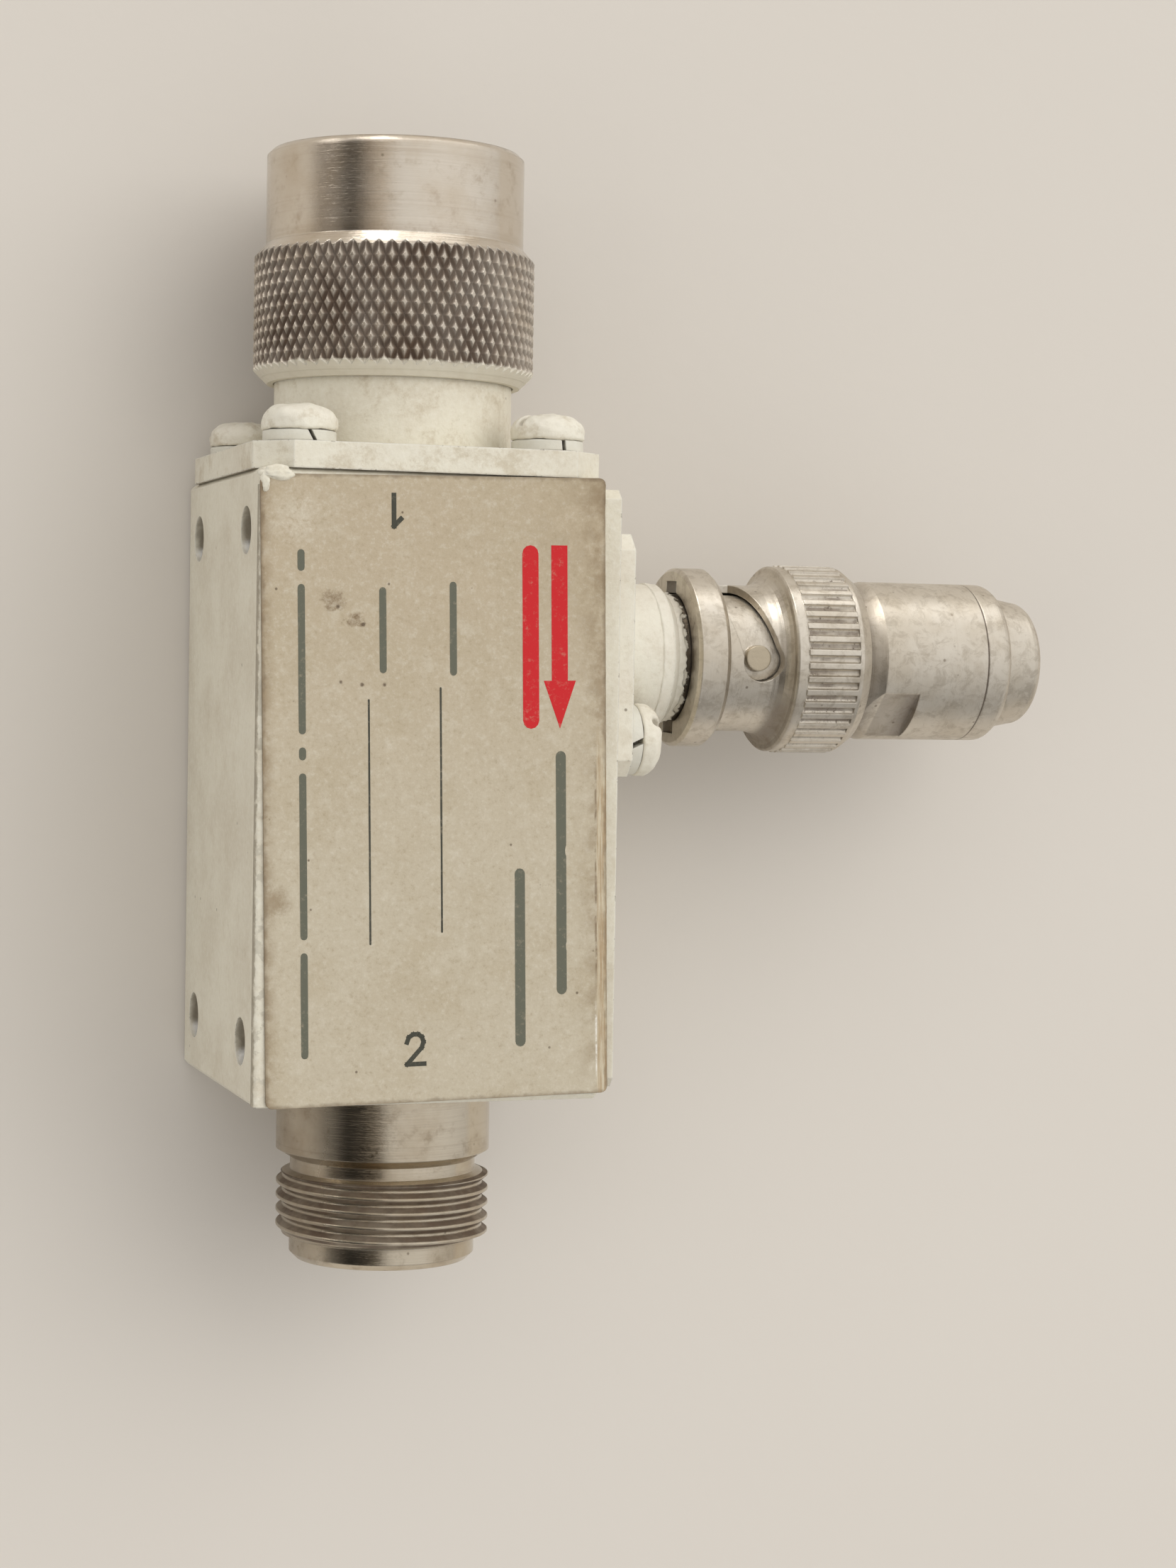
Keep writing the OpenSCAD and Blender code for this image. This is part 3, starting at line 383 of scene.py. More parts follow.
def nickel(name, axis, tones, shine, dirt_and_shade, painted=None, gap=0.5):
    """Its two function arguments give, from the look, where dirt and painted shade lie and where stray
    paint lies. Crevices also get dirt and painted shade.
    """
    look = Look(name)
    colour, rough, normal = nickel_layers(look, axis, tones, shine)
    # Dirt and painted shade: crevices are darkened brown
    crevice_dirt_and_shade = look.times(look.step(look.crevice(gap), 0.35, 0.95), 0.7)
    dirt = look.most(crevice_dirt_and_shade, dirt_and_shade(look))
    brown = look.mix(look.noise(1.6, 3.0), srgb(56, 41, 30), srgb(102, 79, 60))
    colour = look.mix(dirt, colour, brown)
    rough = look.lerp(dirt, rough, 0.7)
    metal = look.lerp(dirt, 1.0, 0.15)
    if painted:
        over = painted(look)
        cream = look.mix(look.noise(1.4, 4.0), srgb(226, 222, 208), srgb(208, 201, 184))
        colour = look.mix(over, colour, cream)
        rough = look.lerp(over, rough, 0.5)
        metal = look.times(metal, look.minus(1.0, over))
    return look.surface(Base_Color=colour, Roughness=rough, Metallic=metal, Normal=normal)


def knurl_grime(look):
    """Dirt between the diamonds of the knurl, thinner towards the right."""
    low = look.fade(look.radius("y"), KNURL_R - 0.18, KNURL_R + 0.04)
    here = look.band(look.y, *KNURL, 0.12)
    worn = look.lerp(look.step(look.noise(0.16, 3.0), 0.35, 0.65), 0.74, 0.96)
    toward_right = look.lerp(look.step(look.x, 1.5, 8.5), 1.0, 0.72)
    return look.times(look.lerp(low, 0.16, 1.0), here, worn, toward_right)


def nut_paint(look):
    """The spray that reached the back of the nut."""
    reach = look.ragged(look.y, 1.1, 0.9, 4.0, 0.7, centre=0.5)
    return look.times(look.fade(reach, NUT_LOW.y + 0.905, NUT_LOW.y + 1.205), 0.92)


def flute_dirt_and_shade(look):
    """Painted shade as a dark line along the root of each flute, crumbs of dirt, and a painted dark
    reflection in the hollow before the grip, strongest on its lower side.
    """
    here = look.band(look.x, *FLUTES, 0.08)
    # Painted shade: a dark line at the root of each flute
    line = look.fade(look.radius("x"), FLUTE_ROOT_R + 0.015, FLUTE_ROOT_R + 0.05)
    low = look.fade(look.radius("x"), FLUTE_ROOT_R + 0.05, FLUTE_ROOT_R + 0.19)
    crumbs = look.step(look.noise(2.4, 5.0, 0.75), 0.53, 0.62)
    patch = look.step(look.noise(0.5, 3.0), 0.4, 0.62)
    dirt = look.most(look.times(line, look.lerp(patch, 0.12, 0.6)),
                     look.times(low, crumbs, look.lerp(patch, 0.05, 0.85)))
    # Painted reflection: the hollow is darkened, more on its lower side
    below = look.lerp(look.fade(look.y, PORT_Y - 4.0, PORT_Y - 1.5), 0.1, 0.72)
    hollow_reflection = look.times(look.band(look.x, *HOLLOW, 0.5), below, look.lerp(look.noise(0.8, 4.0), 0.6, 1.0))
    return look.most(look.times(here, dirt), hollow_reflection)


def thread_dirt_and_shade(look):
    """Dirt on the flanks of the jack's thread, and painted shade down its left side."""
    flank = look.band(look.radius("y"), THREAD_R - THREAD_DEPTH + 0.06, THREAD_R - 0.06, 0.03)
    here = look.band(look.y, LOWER_END - THREAD_TO - 0.145, LOWER_END - THREAD_FROM + 0.155, 0.2)
    patch = look.lerp(look.step(look.noise(0.3, 4.0, 0.65), 0.3, 0.6), 0.6, 0.9)
    dirt = look.times(look.lerp(flank, 0.12, 1.0), here, patch)
    # Painted shade: the left side of the jack is darkened
    left_shade = look.times(look.fade(look.x, -6.8, -4.2), look.lerp(look.noise(0.5, 4.0), 0.25, 0.5))
    return look.most(dirt, left_shade)


def seam_dirt_and_shade(look):
    """Dirt in the seam before the end cap, dirt and painted shade by the sleeve, and a painted dark
    reflection on the wrench flats, darker towards the end cap.
    """
    back, seam_x = HOUSING_LOW.x, HOUSING_HIGH.x
    seam = look.times(look.band(look.x, seam_x - 0.04, seam_x + 0.07, 0.05), 0.9)
    # Dirt and painted shade in the gap by the sleeve
    sleeve_dirt_and_shade = look.times(look.fade(look.x, back, back + 1.5), look.lerp(look.noise(0.8, 3.0), 0.2, 0.6))
    # Painted reflection: the wrench flats darken towards the end cap
    low = look.fade(look.radius("x"), HOUSING_R - 0.08, HOUSING_R - 0.02)
    shade = look.lerp(look.step(look.x, back + 2.2, back + 4.2), 0.28, 0.6)
    flat = look.times(low, look.band(look.x, back + 1.3, back + 4.3, 0.1), shade)
    return look.most(seam, sleeve_dirt_and_shade, flat)


def port_metal():
    """Paint as far as the ragged edge on the barrel, bare plated metal beyond it, darkened with painted
    shade at the sleeve's mouth.
    """
    look = Look("port_paint_and_metal")
    paint_colour, paint_rough, paint_normal = paint_layers(look, white=0.8, stained=0.2)
    metal_colour, metal_rough, _ = nickel_layers(look, "x", SATIN_NICKEL, (0.3, 0.42))
    # Painted shade: the bare metal at the sleeve's mouth is darkened, fading off inside it; the lug alone
    # stays light
    metal_colour = look.cover(metal_colour, (74, 65, 54), 0.9, look.fade(look.x, MOUTH - 0.1, MOUTH + 2.3))
    lug = look.times(look.step(look.radius("x"), 5.1, 5.2), look.step(look.x, MOUTH + 1.9, MOUTH + 2.1))
    metal_colour = look.mix(lug, metal_colour, srgb(190, 178, 157))
    bare = look.step(look.ragged(look.x, 1.6, 1.5, 4.0, 0.7, centre=0.5), MOUTH - 0.35, MOUTH - 0.2)
    return look.surface(Base_Color=look.mix(bare, paint_colour, metal_colour),
                        Roughness=look.lerp(bare, paint_rough, metal_rough),
                        Metallic=look.times(bare, 0.9),
                        Normal=look.bump(look.minus(1.0, bare), 0.1, paint_normal))


def plug_metal():
    """Paint on the plug's flange and neck, bare metal where the nut covers it."""
    look = Look("plug_paint_and_metal")
    paint_colour, paint_rough, paint_normal = paint_layers(look, stained=0.48, white=0.2)
    metal_colour, metal_rough, metal_normal = nickel_layers(look, "y", SATIN_NICKEL, (0.2, 0.3))
    bare = look.step(look.ragged(look.y, 0.8, 1.5, 4.0), NUT_LOW.y + 1.355, NUT_LOW.y + 1.655)
    return look.surface(Base_Color=look.mix(bare, paint_colour, metal_colour),
                        Roughness=look.lerp(bare, paint_rough, metal_rough),
                        Metallic=bare, Normal=look.mix_way(bare, paint_normal, metal_normal))


class LabelLook(Look):
    """A look in the label's own axes, u across it and v along it."""

    def __init__(self, name):
        super().__init__(name)
        from_middle = self.vector("SUBTRACT", self.xyz(self.x, self.y, 0.0), (*LABEL_AT[:2], 0.0))
        self.u = self.vector("DOT_PRODUCT", from_middle, (math.cos(SKEW), math.sin(SKEW), 0.0))
        self.v = self.vector("DOT_PRODUCT", from_middle, (-math.sin(SKEW), math.cos(SKEW), 0.0))
        self.flat = self.xyz(self.u, self.v, 0.0)
        self.patch = self.noise(0.75, 5.0, 0.7)
        self.grain = self.noise(2.6, 6.0, 0.78)

    def spot(self, place, inner, outer, wild):
        """A ragged patch about a place on the label."""
        away = self.vector("LENGTH", self.vector("SUBTRACT", self.flat, (*place, 0.0)))
        return self.fade(self.ragged(away, wild, 1.5, 6.0, 0.75, centre=0.5), inner, outer)


def label_tan(look):
    """Tan foil, mottled, browner at the top, with a pale patch at the top left."""
    colour = look.mix(look.step(look.v, -10.0, 19.0), srgb(191, 181, 160), srgb(184, 170, 146))
    colour = look.cover(colour, (180, 167, 142), 0.6, look.step(look.noise(0.17, 4.0, 0.6), 0.42, 0.72))
    colour = look.cover(colour, (203, 195, 177), 0.45, look.step(look.patch, 0.5, 0.72))
    colour = look.cover(colour, (210, 203, 187), 0.5, look.step(look.grain, 0.5, 0.7))
    colour = look.cover(colour, (160, 145, 119), 0.5, look.fade(look.grain, 0.3, 0.48))
    pale = look.spot((-9.7, 19.0), 0.2, 2.6, 5.0)
    colour = look.cover(colour, (214, 207, 191), 0.5, pale, look.step(look.grain, 0.3, 0.65))
    top_right = look.times(look.step(look.u, 4.0, 12.0), look.step(look.v, 6.0, 20.0))
    return look.cover(colour, (158, 140, 112), 0.5, top_right, look.step(look.patch, 0.36, 0.6))


def label_dirt(look, colour):
    """Dirt along both sides, a stain at the left and two smudges."""
    right = look.times(look.step(look.u, LABEL_SIDE - 2.7, LABEL_SIDE - 0.1),
                       look.step(look.noise(0.5, 5.0, 0.65), 0.4, 0.62))
    left = look.times(look.fade(look.u, -LABEL_SIDE, 1.1 - LABEL_SIDE),
                      look.lerp(look.step(look.noise(0.6, 5.0, 0.7), 0.42, 0.6), 0.35, 1.0))
    stain = look.spot((-11.9, -7.6), 0.3, 1.6, 2.4)
    dirt = look.most(look.times(right, 0.55), look.times(left, 0.6), look.times(stain, 0.6))
    colour = look.mix(dirt, colour, srgb(134, 112, 82))
    smudge = look.most(look.spot((-7.4, 13.2), 0.35, 0.95, 2.2), look.spot((-5.85, 11.9), 0.3, 0.75, 2.2))
    thin = look.lerp(look.step(look.grain, 0.35, 0.6), 0.8, 0.3)
    return look.mix(look.times(smudge, thin), colour, srgb(112, 90, 62))


def label_margin(look, colour):
    """The frayed right margin, with a dark split line beside it and, lower down, a painted highlight along
    the crease.
    """
    streak = look.noise(1.0, 5.0, 0.7, look.xyz(look.times(look.u, 5.0), look.times(look.v, 0.22), 0.0))
    edge = look.step(look.plus(look.u, look.times(streak, 0.5)), LABEL_SIDE - 0.55, LABEL_SIDE - 0.4)
    frayed = look.times(look.fade(look.v, 0.0, 6.0), edge)
    fibres = look.mix(look.step(streak, 0.4, 0.62), srgb(172, 147, 113), srgb(206, 195, 170))
    colour = look.mix(look.times(frayed, 0.75), colour, fibres)
    line = look.band(look.plus(look.u, look.times(streak, 0.3)), LABEL_SIDE - 0.72, LABEL_SIDE - 0.6, 0.06)
    split = look.times(line, look.step(look.noise(0.7, 4.0, 0.7), 0.4, 0.56))
    colour = look.cover(colour, (112, 90, 64), 0.7, split, look.band(look.v, -13.5, 1.0, 1.5))
    # Painted highlight: lower down the crease is drawn pale
    return look.cover(colour, (240, 237, 229), 0.9, split, look.band(look.v, -20.6, -15.8, 0.6))


def label_rim(look, colour):
    """Dirt all round the label's edge."""
    from_side = look.minus(LABEL_HALF[0], look.math("ABSOLUTE", look.u))
    from_end = look.minus(LABEL_HALF[1], look.math("ABSOLUTE", look.v))
    rim = look.fade(look.ragged(look.math("MINIMUM", from_side, from_end), 0.6, 1.1, 4.0), 0.3, 0.62)
    return look.mix(look.times(rim, look.lerp(look.patch, 0.2, 0.8)), colour, srgb(108, 90, 68))


def label_foil():
    """Tan foil, mottled, dirty along its edges, with specks and pin marks."""
    look = LabelLook("label_tan_foil")
    colour = label_rim(look, label_margin(look, label_dirt(look, label_tan(look))))
    colour = look.cover(colour, (88, 72, 56), 0.75, look.specks(0.62, (0.035, 0.08), (0.56, 0.6)))
    for place in ((-6.95, 7.6), (-5.4, 7.4), (-3.8, 7.4), (-7.1, 12.85), (-5.3, 11.6)):
        colour = look.cover(colour, (80, 62, 46), 0.8, look.spot(place, 0.06, 0.2, 0.3))
    normal = look.bump(look.noise(0.5, 4.0), 0.05, look.round_edges(0.06))
    normal = look.bump(look.grain, 0.02, normal)
    return look.surface(Base_Color=colour, Roughness=look.lerp(look.grain, 0.4, 0.6), Metallic=0.1,
                        Specular_IOR_Level=0.35, Normal=normal)


def ink(name, *tone):
    """Printing ink, worn thin in places."""
    look = Look(name)
    worn = look.times(look.step(look.noise(2.2, 5.0, 0.75), 0.52, 0.75), 0.35)
    shade = look.mix(worn, srgb(*tone), srgb(186, 172, 148))
    return look.surface(Base_Color=shade, Roughness=look.lerp(worn, 0.42, 0.6), Specular_IOR_Level=0.3)


def plain(name, low, high, rough, metal):
    """A clean inner piece with slight variation and fine relief."""
    look = Look(name)
    cloud = look.noise(1.2, 4.0, 0.6)
    normal = look.bump(look.noise(4.8, 4.0, 0.6), 0.01, look.round_edges(0.06))
    return look.surface(Base_Color=look.mix(cloud, srgb(*low), srgb(*high)),
                        Roughness=look.lerp(cloud, rough - 0.08, rough + 0.08),
                        Metallic=metal, Normal=normal)


def washer_paint():
    """Thin whitish paint on the lock washers, with painted shade in their gaps and painted highlights on
    their edges.
    """
    look = Look("washer_paint")
    cloud = look.noise(1.4, 4.0, 0.65)
    colour = look.mix(cloud, srgb(222, 221, 212), srgb(206, 202, 188))
    # Painted shade: gaps and crevices are darkened
    colour = look.cover(colour, (70, 62, 52), 0.75, look.step(look.crevice(0.45), 0.35, 0.9))
    edges, normal = look.edge_wear_and_highlight(0.1)
    # Painted highlight: edges are lightened
    colour = look.cover(colour, (236, 235, 228), 0.5, look.step(edges, 0.03, 0.12))
    normal = look.bump(look.noise(4.0, 4.0), 0.02, normal)
    return look.surface(Base_Color=colour, Roughness=look.lerp(cloud, 0.35, 0.5), Normal=normal)


CREAM = paint("cream_paint")
SCREW = paint("screw_paint", white=0.7, stained=0.5)
BLOCK = block_paint()
PORT_EDGE = paint("port_edge_paint", stained=0.15, white=1.0)
EDGE = edge_paint()
FLANGE = plug_metal()
WASHER = washer_paint()
FOIL = label_foil()
PORT = port_metal()
NUT = nickel("nut_nickel", "y", BRIGHT_NICKEL, (0.11, 0.19), knurl_grime, nut_paint)
JACK = nickel("jack_nickel", "y", STAINED_NICKEL, (0.1, 0.18), thread_dirt_and_shade)
SLEEVE = nickel("sleeve_nickel", "x", SATIN_NICKEL, (0.26, 0.38), flute_dirt_and_shade, gap=0.13)
TERMINATION = nickel("termination_nickel", "x", SATIN_NICKEL, (0.33, 0.45), seam_dirt_and_shade)
GOLD = plain("gold_contact", (214, 170, 84), (232, 196, 116), 0.28, 1.0)
STEEL = plain("spring_steel", (150, 146, 140), (186, 182, 174), 0.34, 1.0)
WHITE = plain("white_insulator", (226, 224, 214), (240, 239, 233), 0.5, 0.0)
RUBBER = plain("gasket_rubber", (104, 42, 34), (132, 58, 46), 0.7, 0.0)
RESISTOR = plain("resistor_coat", (136, 104, 74), (160, 128, 94), 0.6, 0.0)
RED_INK = ink("red_ink", 196, 30, 36)
GREY_INK = ink("grey_green_ink", 98, 99, 86)
DARK_INK = ink("dark_ink", 66, 66, 57)

FINISH = {
    BLOCK: ("body_block",),
    CREAM: ("side_cover", "cover_screws"),
    FLANGE: ("n_plug_body",),
    SCREW: ("flange_screws", "port_screws"),
    WASHER: ("flange_lock_washers", "port_lock_washers"),
    FOIL: ("label_plate",),
    PORT: ("port_jack_body",),
    NUT: ("n_coupling_nut",),
    JACK: ("n_jack_body",),
    SLEEVE: ("bayonet_sleeve",),
    TERMINATION: ("plug_shell", "termination_housing", "termination_end_cap"),
    GOLD: ("n_plug_pin", "n_jack_socket", "line_conductor", "pickup_loop", "port_socket", "plug_pin"),
    STEEL: ("nut_retaining_ring", "spring_washer", "sleeve_retaining_ring"),
    WHITE: ("n_plug_insulator", "n_jack_insulator", "port_insulator", "plug_insulator"),
    RUBBER: ("n_plug_gasket", "plug_gasket"),
    RESISTOR: ("loop_load", "termination_resistor"),
}
for material, names in FINISH.items():
    for name in names:
        mesh = nodes[name].data
        mesh.materials.clear()
        mesh.materials.append(material)


# New pieces

def add_piece(name, bm, material, body, sharp=35.0):
    """Makes a piece from a bmesh in millimetres."""
    bmesh.ops.scale(bm, vec=(MM, MM, MM), verts=bm.verts)
    bmesh.ops.recalc_face_normals(bm, faces=bm.faces)
    mesh = bpy.data.meshes.new(name)
    bm.to_mesh(mesh)
    bm.free()
    mesh.polygons.foreach_set("use_smooth", [True] * len(mesh.polygons))
    mesh.set_sharp_from_angle(angle=math.radians(sharp))
    mesh.materials.append(material)
    piece = bpy.data.objects.new(name, mesh)
    scene.collection.objects.link(piece)
    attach(piece, body)
    return piece


def about_line(radius, angle, y):
    """A point at that radius and angle about the line's axis."""
    return (radius * math.cos(angle), y, LINE_Z + radius * math.sin(angle))


def about_port(radius, angle, x):
    """A point at that radius and angle about the port's axis."""
    return (x, PORT_Y + radius * math.cos(angle), LINE_Z + radius * math.sin(angle))


def level(radius, along):
    """A row of a lathe that is the same all round."""
    return lambda angle: (radius, along)


def lathe(rows, segments, place):
    """A closed ring of rows. A row gives the radius and the place along the axis at each angle."""
    bm = bmesh.new()
    grid = []
    for row in rows:
        ring = []
        for i in range(segments):
            angle = 2.0 * math.pi * i / segments
            radius, along = row(angle)
            ring.append(bm.verts.new(place(radius, angle, along)))
        grid.append(ring)
    for one, two in zip(grid, grid[1:] + grid[:1]):
        for i in range(segments):
            k = (i + 1) % segments
            bm.faces.new((one[i], one[k], two[k], two[i]))
    return bm


def tube(bm, rings):
    """Joins closed outlines one after another and caps both ends."""
    for one, two in zip(rings, rings[1:]):
        for i in range(len(one)):
            k = (i + 1) % len(one)
            bm.faces.new((one[i], one[k], two[k], two[i]))
    bm.faces.new(rings[0])
    bm.faces.new(rings[-1][::-1])


def jack_body():
    """The jack with its 24 tpi thread cut; the solid holds the thread's outside."""
    plain_r, spigot_r, rim_r = JACK_HIGH.x, 7.0, 6.875
    bore_r, mouth_r, mouth_depth = 3.5, 4.07, 9.1
    rim_bevel, mouth_bevel, run_in = 0.45, 0.6, 0.35
    # Distances below the block's lower end
    spigot_top = LOWER_END - JACK_HIGH.y
    rim = LOWER_END - JACK_LOW.y
    plain_end, undercut = 4.9, 5.53
    steps = 130

    def thread(down):
        def at(angle):
            turn = (down / THREAD_PITCH + angle / (2.0 * math.pi)) % 1.0
            ridge = min(max(1.4 * (1.0 - abs(2.0 * turn - 1.0)) - 0.2, 0.0), 1.0)
            rise = min((down - THREAD_FROM) / run_in, (THREAD_TO - down) / run_in, 1.0)
            envelope = rim_r + (THREAD_R - rim_r) * rise
            return min(envelope, THREAD_R - THREAD_DEPTH * (1.0 - ridge)), down
        return at

    rows = [level(bore_r, spigot_top), level(spigot_r, spigot_top), level(spigot_r, 0.0),
            level(plain_r, 0.0), level(plain_r, plain_end), level(rim_r, undercut)]
    rows += [thread(THREAD_FROM + (THREAD_TO - THREAD_FROM) * i / steps) for i in range(steps + 1)]
    rows += [level(rim_r, rim - rim_bevel), level(rim_r - rim_bevel, rim),
             level(mouth_r + mouth_bevel, rim), level(mouth_r, rim - mouth_bevel),
             level(mouth_r, rim - mouth_depth), level(bore_r, rim - mouth_depth)]

    def below_block(radius, angle, down):
        return about_line(radius, angle, LOWER_END - down)

    bm = lathe(rows, 180, below_block)
    piece = add_piece("n_jack_threaded", bm, JACK, "coupler", 32.0)
    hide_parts("n_jack_body")


def nut_thread():
    """The thread inside the coupling nut, as ridges on the solid's plain bore."""
    bore, root, crest = 7.44, 7.42, 7.06
    low, high = NUT_HIGH.y - 8.645, NUT_HIGH.y - 1.045
    run_in, steps = 0.5, 124

    def ridge(y):
        def at(angle):
            turn = (y / THREAD_PITCH - angle / (2.0 * math.pi)) % 1.0
            rise = 0.5 - 0.5 * math.cos(2.0 * math.pi * turn)
            room = min((y - low) / run_in, (high - y) / run_in, 1.0)
            return root - (root - crest) * rise * room, y
        return at

    rows = [ridge(low + (high - low) * i / steps) for i in range(steps + 1)]
    rows += [level(bore, high), level(bore, low)]
    add_piece("nut_thread", lathe(rows, 160, about_line), NUT, "nut", 40.0)


LABEL = Matrix.Translation(LABEL_AT) @ Matrix.Rotation(SKEW, 4, "Z")


def label_height(u, v):
    """Top of the foil over the block: slightly wavy, crumpled along the right, its top right corner up."""
    wave = 0.02 * noise.noise((u * 0.35, v * 0.35, 3.0))
    edge = max(0.0, (u - LABEL_SIDE + 1.7) / 1.5)
    crumple = 0.07 * edge * edge * abs(noise.noise((u * 0.9, v * 1.3, 8.0)))
    corner = max(0.0, 1.0 - math.hypot(LABEL_HALF[0] - u, LABEL_HALF[1] - v) / 3.0)
    return 0.235 + wave + crumple + 0.24 * corner * corner


def round_corner(u, v):
    """A point of the label, drawn in where it lies outside a rounded corner."""
    past_u = LABEL_CORNER - LABEL_HALF[0] + abs(u)
    past_v = LABEL_CORNER - LABEL_HALF[1] + abs(v)
    if past_u > 0.0 and past_v > 0.0:
        far = math.hypot(past_u, past_v)
        if far > LABEL_CORNER:
            u -= math.copysign(past_u * (1.0 - LABEL_CORNER / far), u)
            v -= math.copysign(past_v * (1.0 - LABEL_CORNER / far), v)
    return u, v


def label_sheet():
    """The foil, as a thin closed sheet that follows label_height."""
    bm = bmesh.new()
    across, along, thick = 100, 176, 0.25
    tops, lows = [], []
    for j in range(along + 1):
        tops.append([])
        lows.append([])
        for i in range(across + 1):
            u = LABEL_HALF[0] * (2.0 * i / across - 1.0)
            v = LABEL_HALF[1] * (2.0 * j / along - 1.0)
            u, v = round_corner(u, v)
            top = label_height(u, v)
            tops[j].append(bm.verts.new(LABEL @ Vector((u, v, top))))
            lows[j].append(bm.verts.new(LABEL @ Vector((u, v, max(0.0, top - thick)))))
    for j in range(along):
        for i in range(across):
            bm.faces.new((tops[j][i], tops[j][i + 1], tops[j + 1][i + 1], tops[j + 1][i]))
            bm.faces.new((lows[j][i], lows[j + 1][i], lows[j + 1][i + 1], lows[j][i + 1]))
    for i in range(across):
        bm.faces.new((tops[0][i], lows[0][i], lows[0][i + 1], tops[0][i + 1]))
        bm.faces.new((tops[along][i], tops[along][i + 1], lows[along][i + 1], lows[along][i]))
    for j in range(along):
        bm.faces.new((tops[j][0], tops[j + 1][0], lows[j + 1][0], lows[j][0]))
        bm.faces.new((tops[j][across], lows[j][across], lows[j + 1][across], tops[j + 1][across]))
    piece = add_piece("label_sheet", bm, FOIL, "coupler")
    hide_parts("label_plate")


def prints(name, shapes, material):
    """Flat printed shapes on the label, given as outlines in the label's own millimetres."""
    ink_t, sunk = 0.014, 0.15
    bm = bmesh.new()
    for outline in shapes:
        top = [bm.verts.new(LABEL @ Vector((u, v, label_height(u, v) + ink_t))) for u, v in outline]
        low = [bm.verts.new(LABEL @ Vector((u, v, sunk))) for u, v in outline]
        bm.faces.new(top)
        bm.faces.new(low[::-1])
        for i in range(len(top)):
            k = (i + 1) % len(top)
            bm.faces.new((top[k], top[i], low[i], low[k]))
    add_piece(name, bm, material, "coupler")


def bar(u, v, wide, long):
    """A bar with round ends that runs down the label from v."""
    radius = wide / 2.0
    arc = [math.radians(degrees) for degrees in range(0, 181, 30)]
    return ([(u + radius * math.cos(a), v - radius + radius * math.sin(a)) for a in arc]
            + [(u - radius * math.cos(a), v - long + radius - radius * math.sin(a)) for a in arc])


def row_of_bars(u, v, wide, lengths, gap):
    """Bars one below another, a gap apart."""
    bars = []
    for long in lengths:
        bars.append(bar(u, v, wide, long))
        v -= long + gap
    return bars


def stroke(points, wide):
    """Quads along a line of points, for the plain numerals."""
    quads = []
    for (u0, v0), (u1, v1) in zip(points, points[1:]):
        length = math.hypot(u1 - u0, v1 - v0)
        du, dv = (u1 - u0) / length * wide / 2, (v1 - v0) / length * wide / 2
        quads.append([(u0 - du - dv, v0 - dv + du), (u0 - du + dv, v0 - dv - du),
                      (u1 + du + dv, v1 + dv - du), (u1 + du - dv, v1 + dv + du)])
    return quads


def paint_drop(name, place, size, seed):
    """A blob of dried paint, flat underneath."""
    bm = bmesh.new()
    bmesh.ops.create_icosphere(bm, subdivisions=5, radius=1.0)
    for vert in bm.verts:
        ball = vert.co.copy()
        swell = 1.0 + 0.35 * noise.noise(ball * 1.1 + Vector((seed, 0, 0))) + 0.12 * noise.noise(ball * 3.0)
        ball *= swell
        vert.co = Vector(place) + Vector((ball.x * size[0], ball.y * size[1], max(ball.z, -0.4) * size[2]))
    add_piece(name, bm, CREAM, "coupler", 80.0)


def painted_copy(name, node, wobble, axis, middle, half_pitch):
    """Screws under a thick skin of paint, which rounds their edges and domes their heads."""
    voxel, crown_drop = 0.11, 0.44
    raw = bpy.data.objects.new(name + "_raw", nodes[node].data.copy())
    scene.collection.objects.link(raw)
    skin = raw.modifiers.new("skin", "REMESH")
    skin.mode = "VOXEL"
    skin.voxel_size = voxel * MM
    soft = raw.modifiers.new("soft", "SMOOTH")
    soft.factor = 0.5
    soft.iterations = 9
    graph = bpy.context.evaluated_depsgraph_get()
    mesh = bpy.data.meshes.new_from_object(raw.evaluated_get(graph))
    bpy.data.objects.remove(raw)
    bm = bmesh.new()
    bm.from_mesh(mesh)
    bpy.data.meshes.remove(mesh)
    bm.normal_update()
    top = max(vert.co[axis] for vert in bm.verts) / MM
    moves = []
    for vert in bm.verts:
        place = vert.co / MM
        lump = noise.noise(place * 0.8) + 0.5 * noise.noise(place * 2.2)
        moved = place + vert.normal * (wobble * lump)
        off = [abs(abs(place[k] - middle[k]) - half_pitch) for k in range(3) if k != axis]
        crown = min(max((place[axis] - top + HEAD_H) / HEAD_H, 0.0), 1.0)
        moved[axis] -= crown_drop * crown * (math.hypot(*off) / HEAD_R) ** 2
        moves.append(moved)
    for vert, moved in zip(bm.verts, moves):
        vert.co = moved
    piece = add_piece(name, bm, SCREW, "coupler", 80.0)
    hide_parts(node)


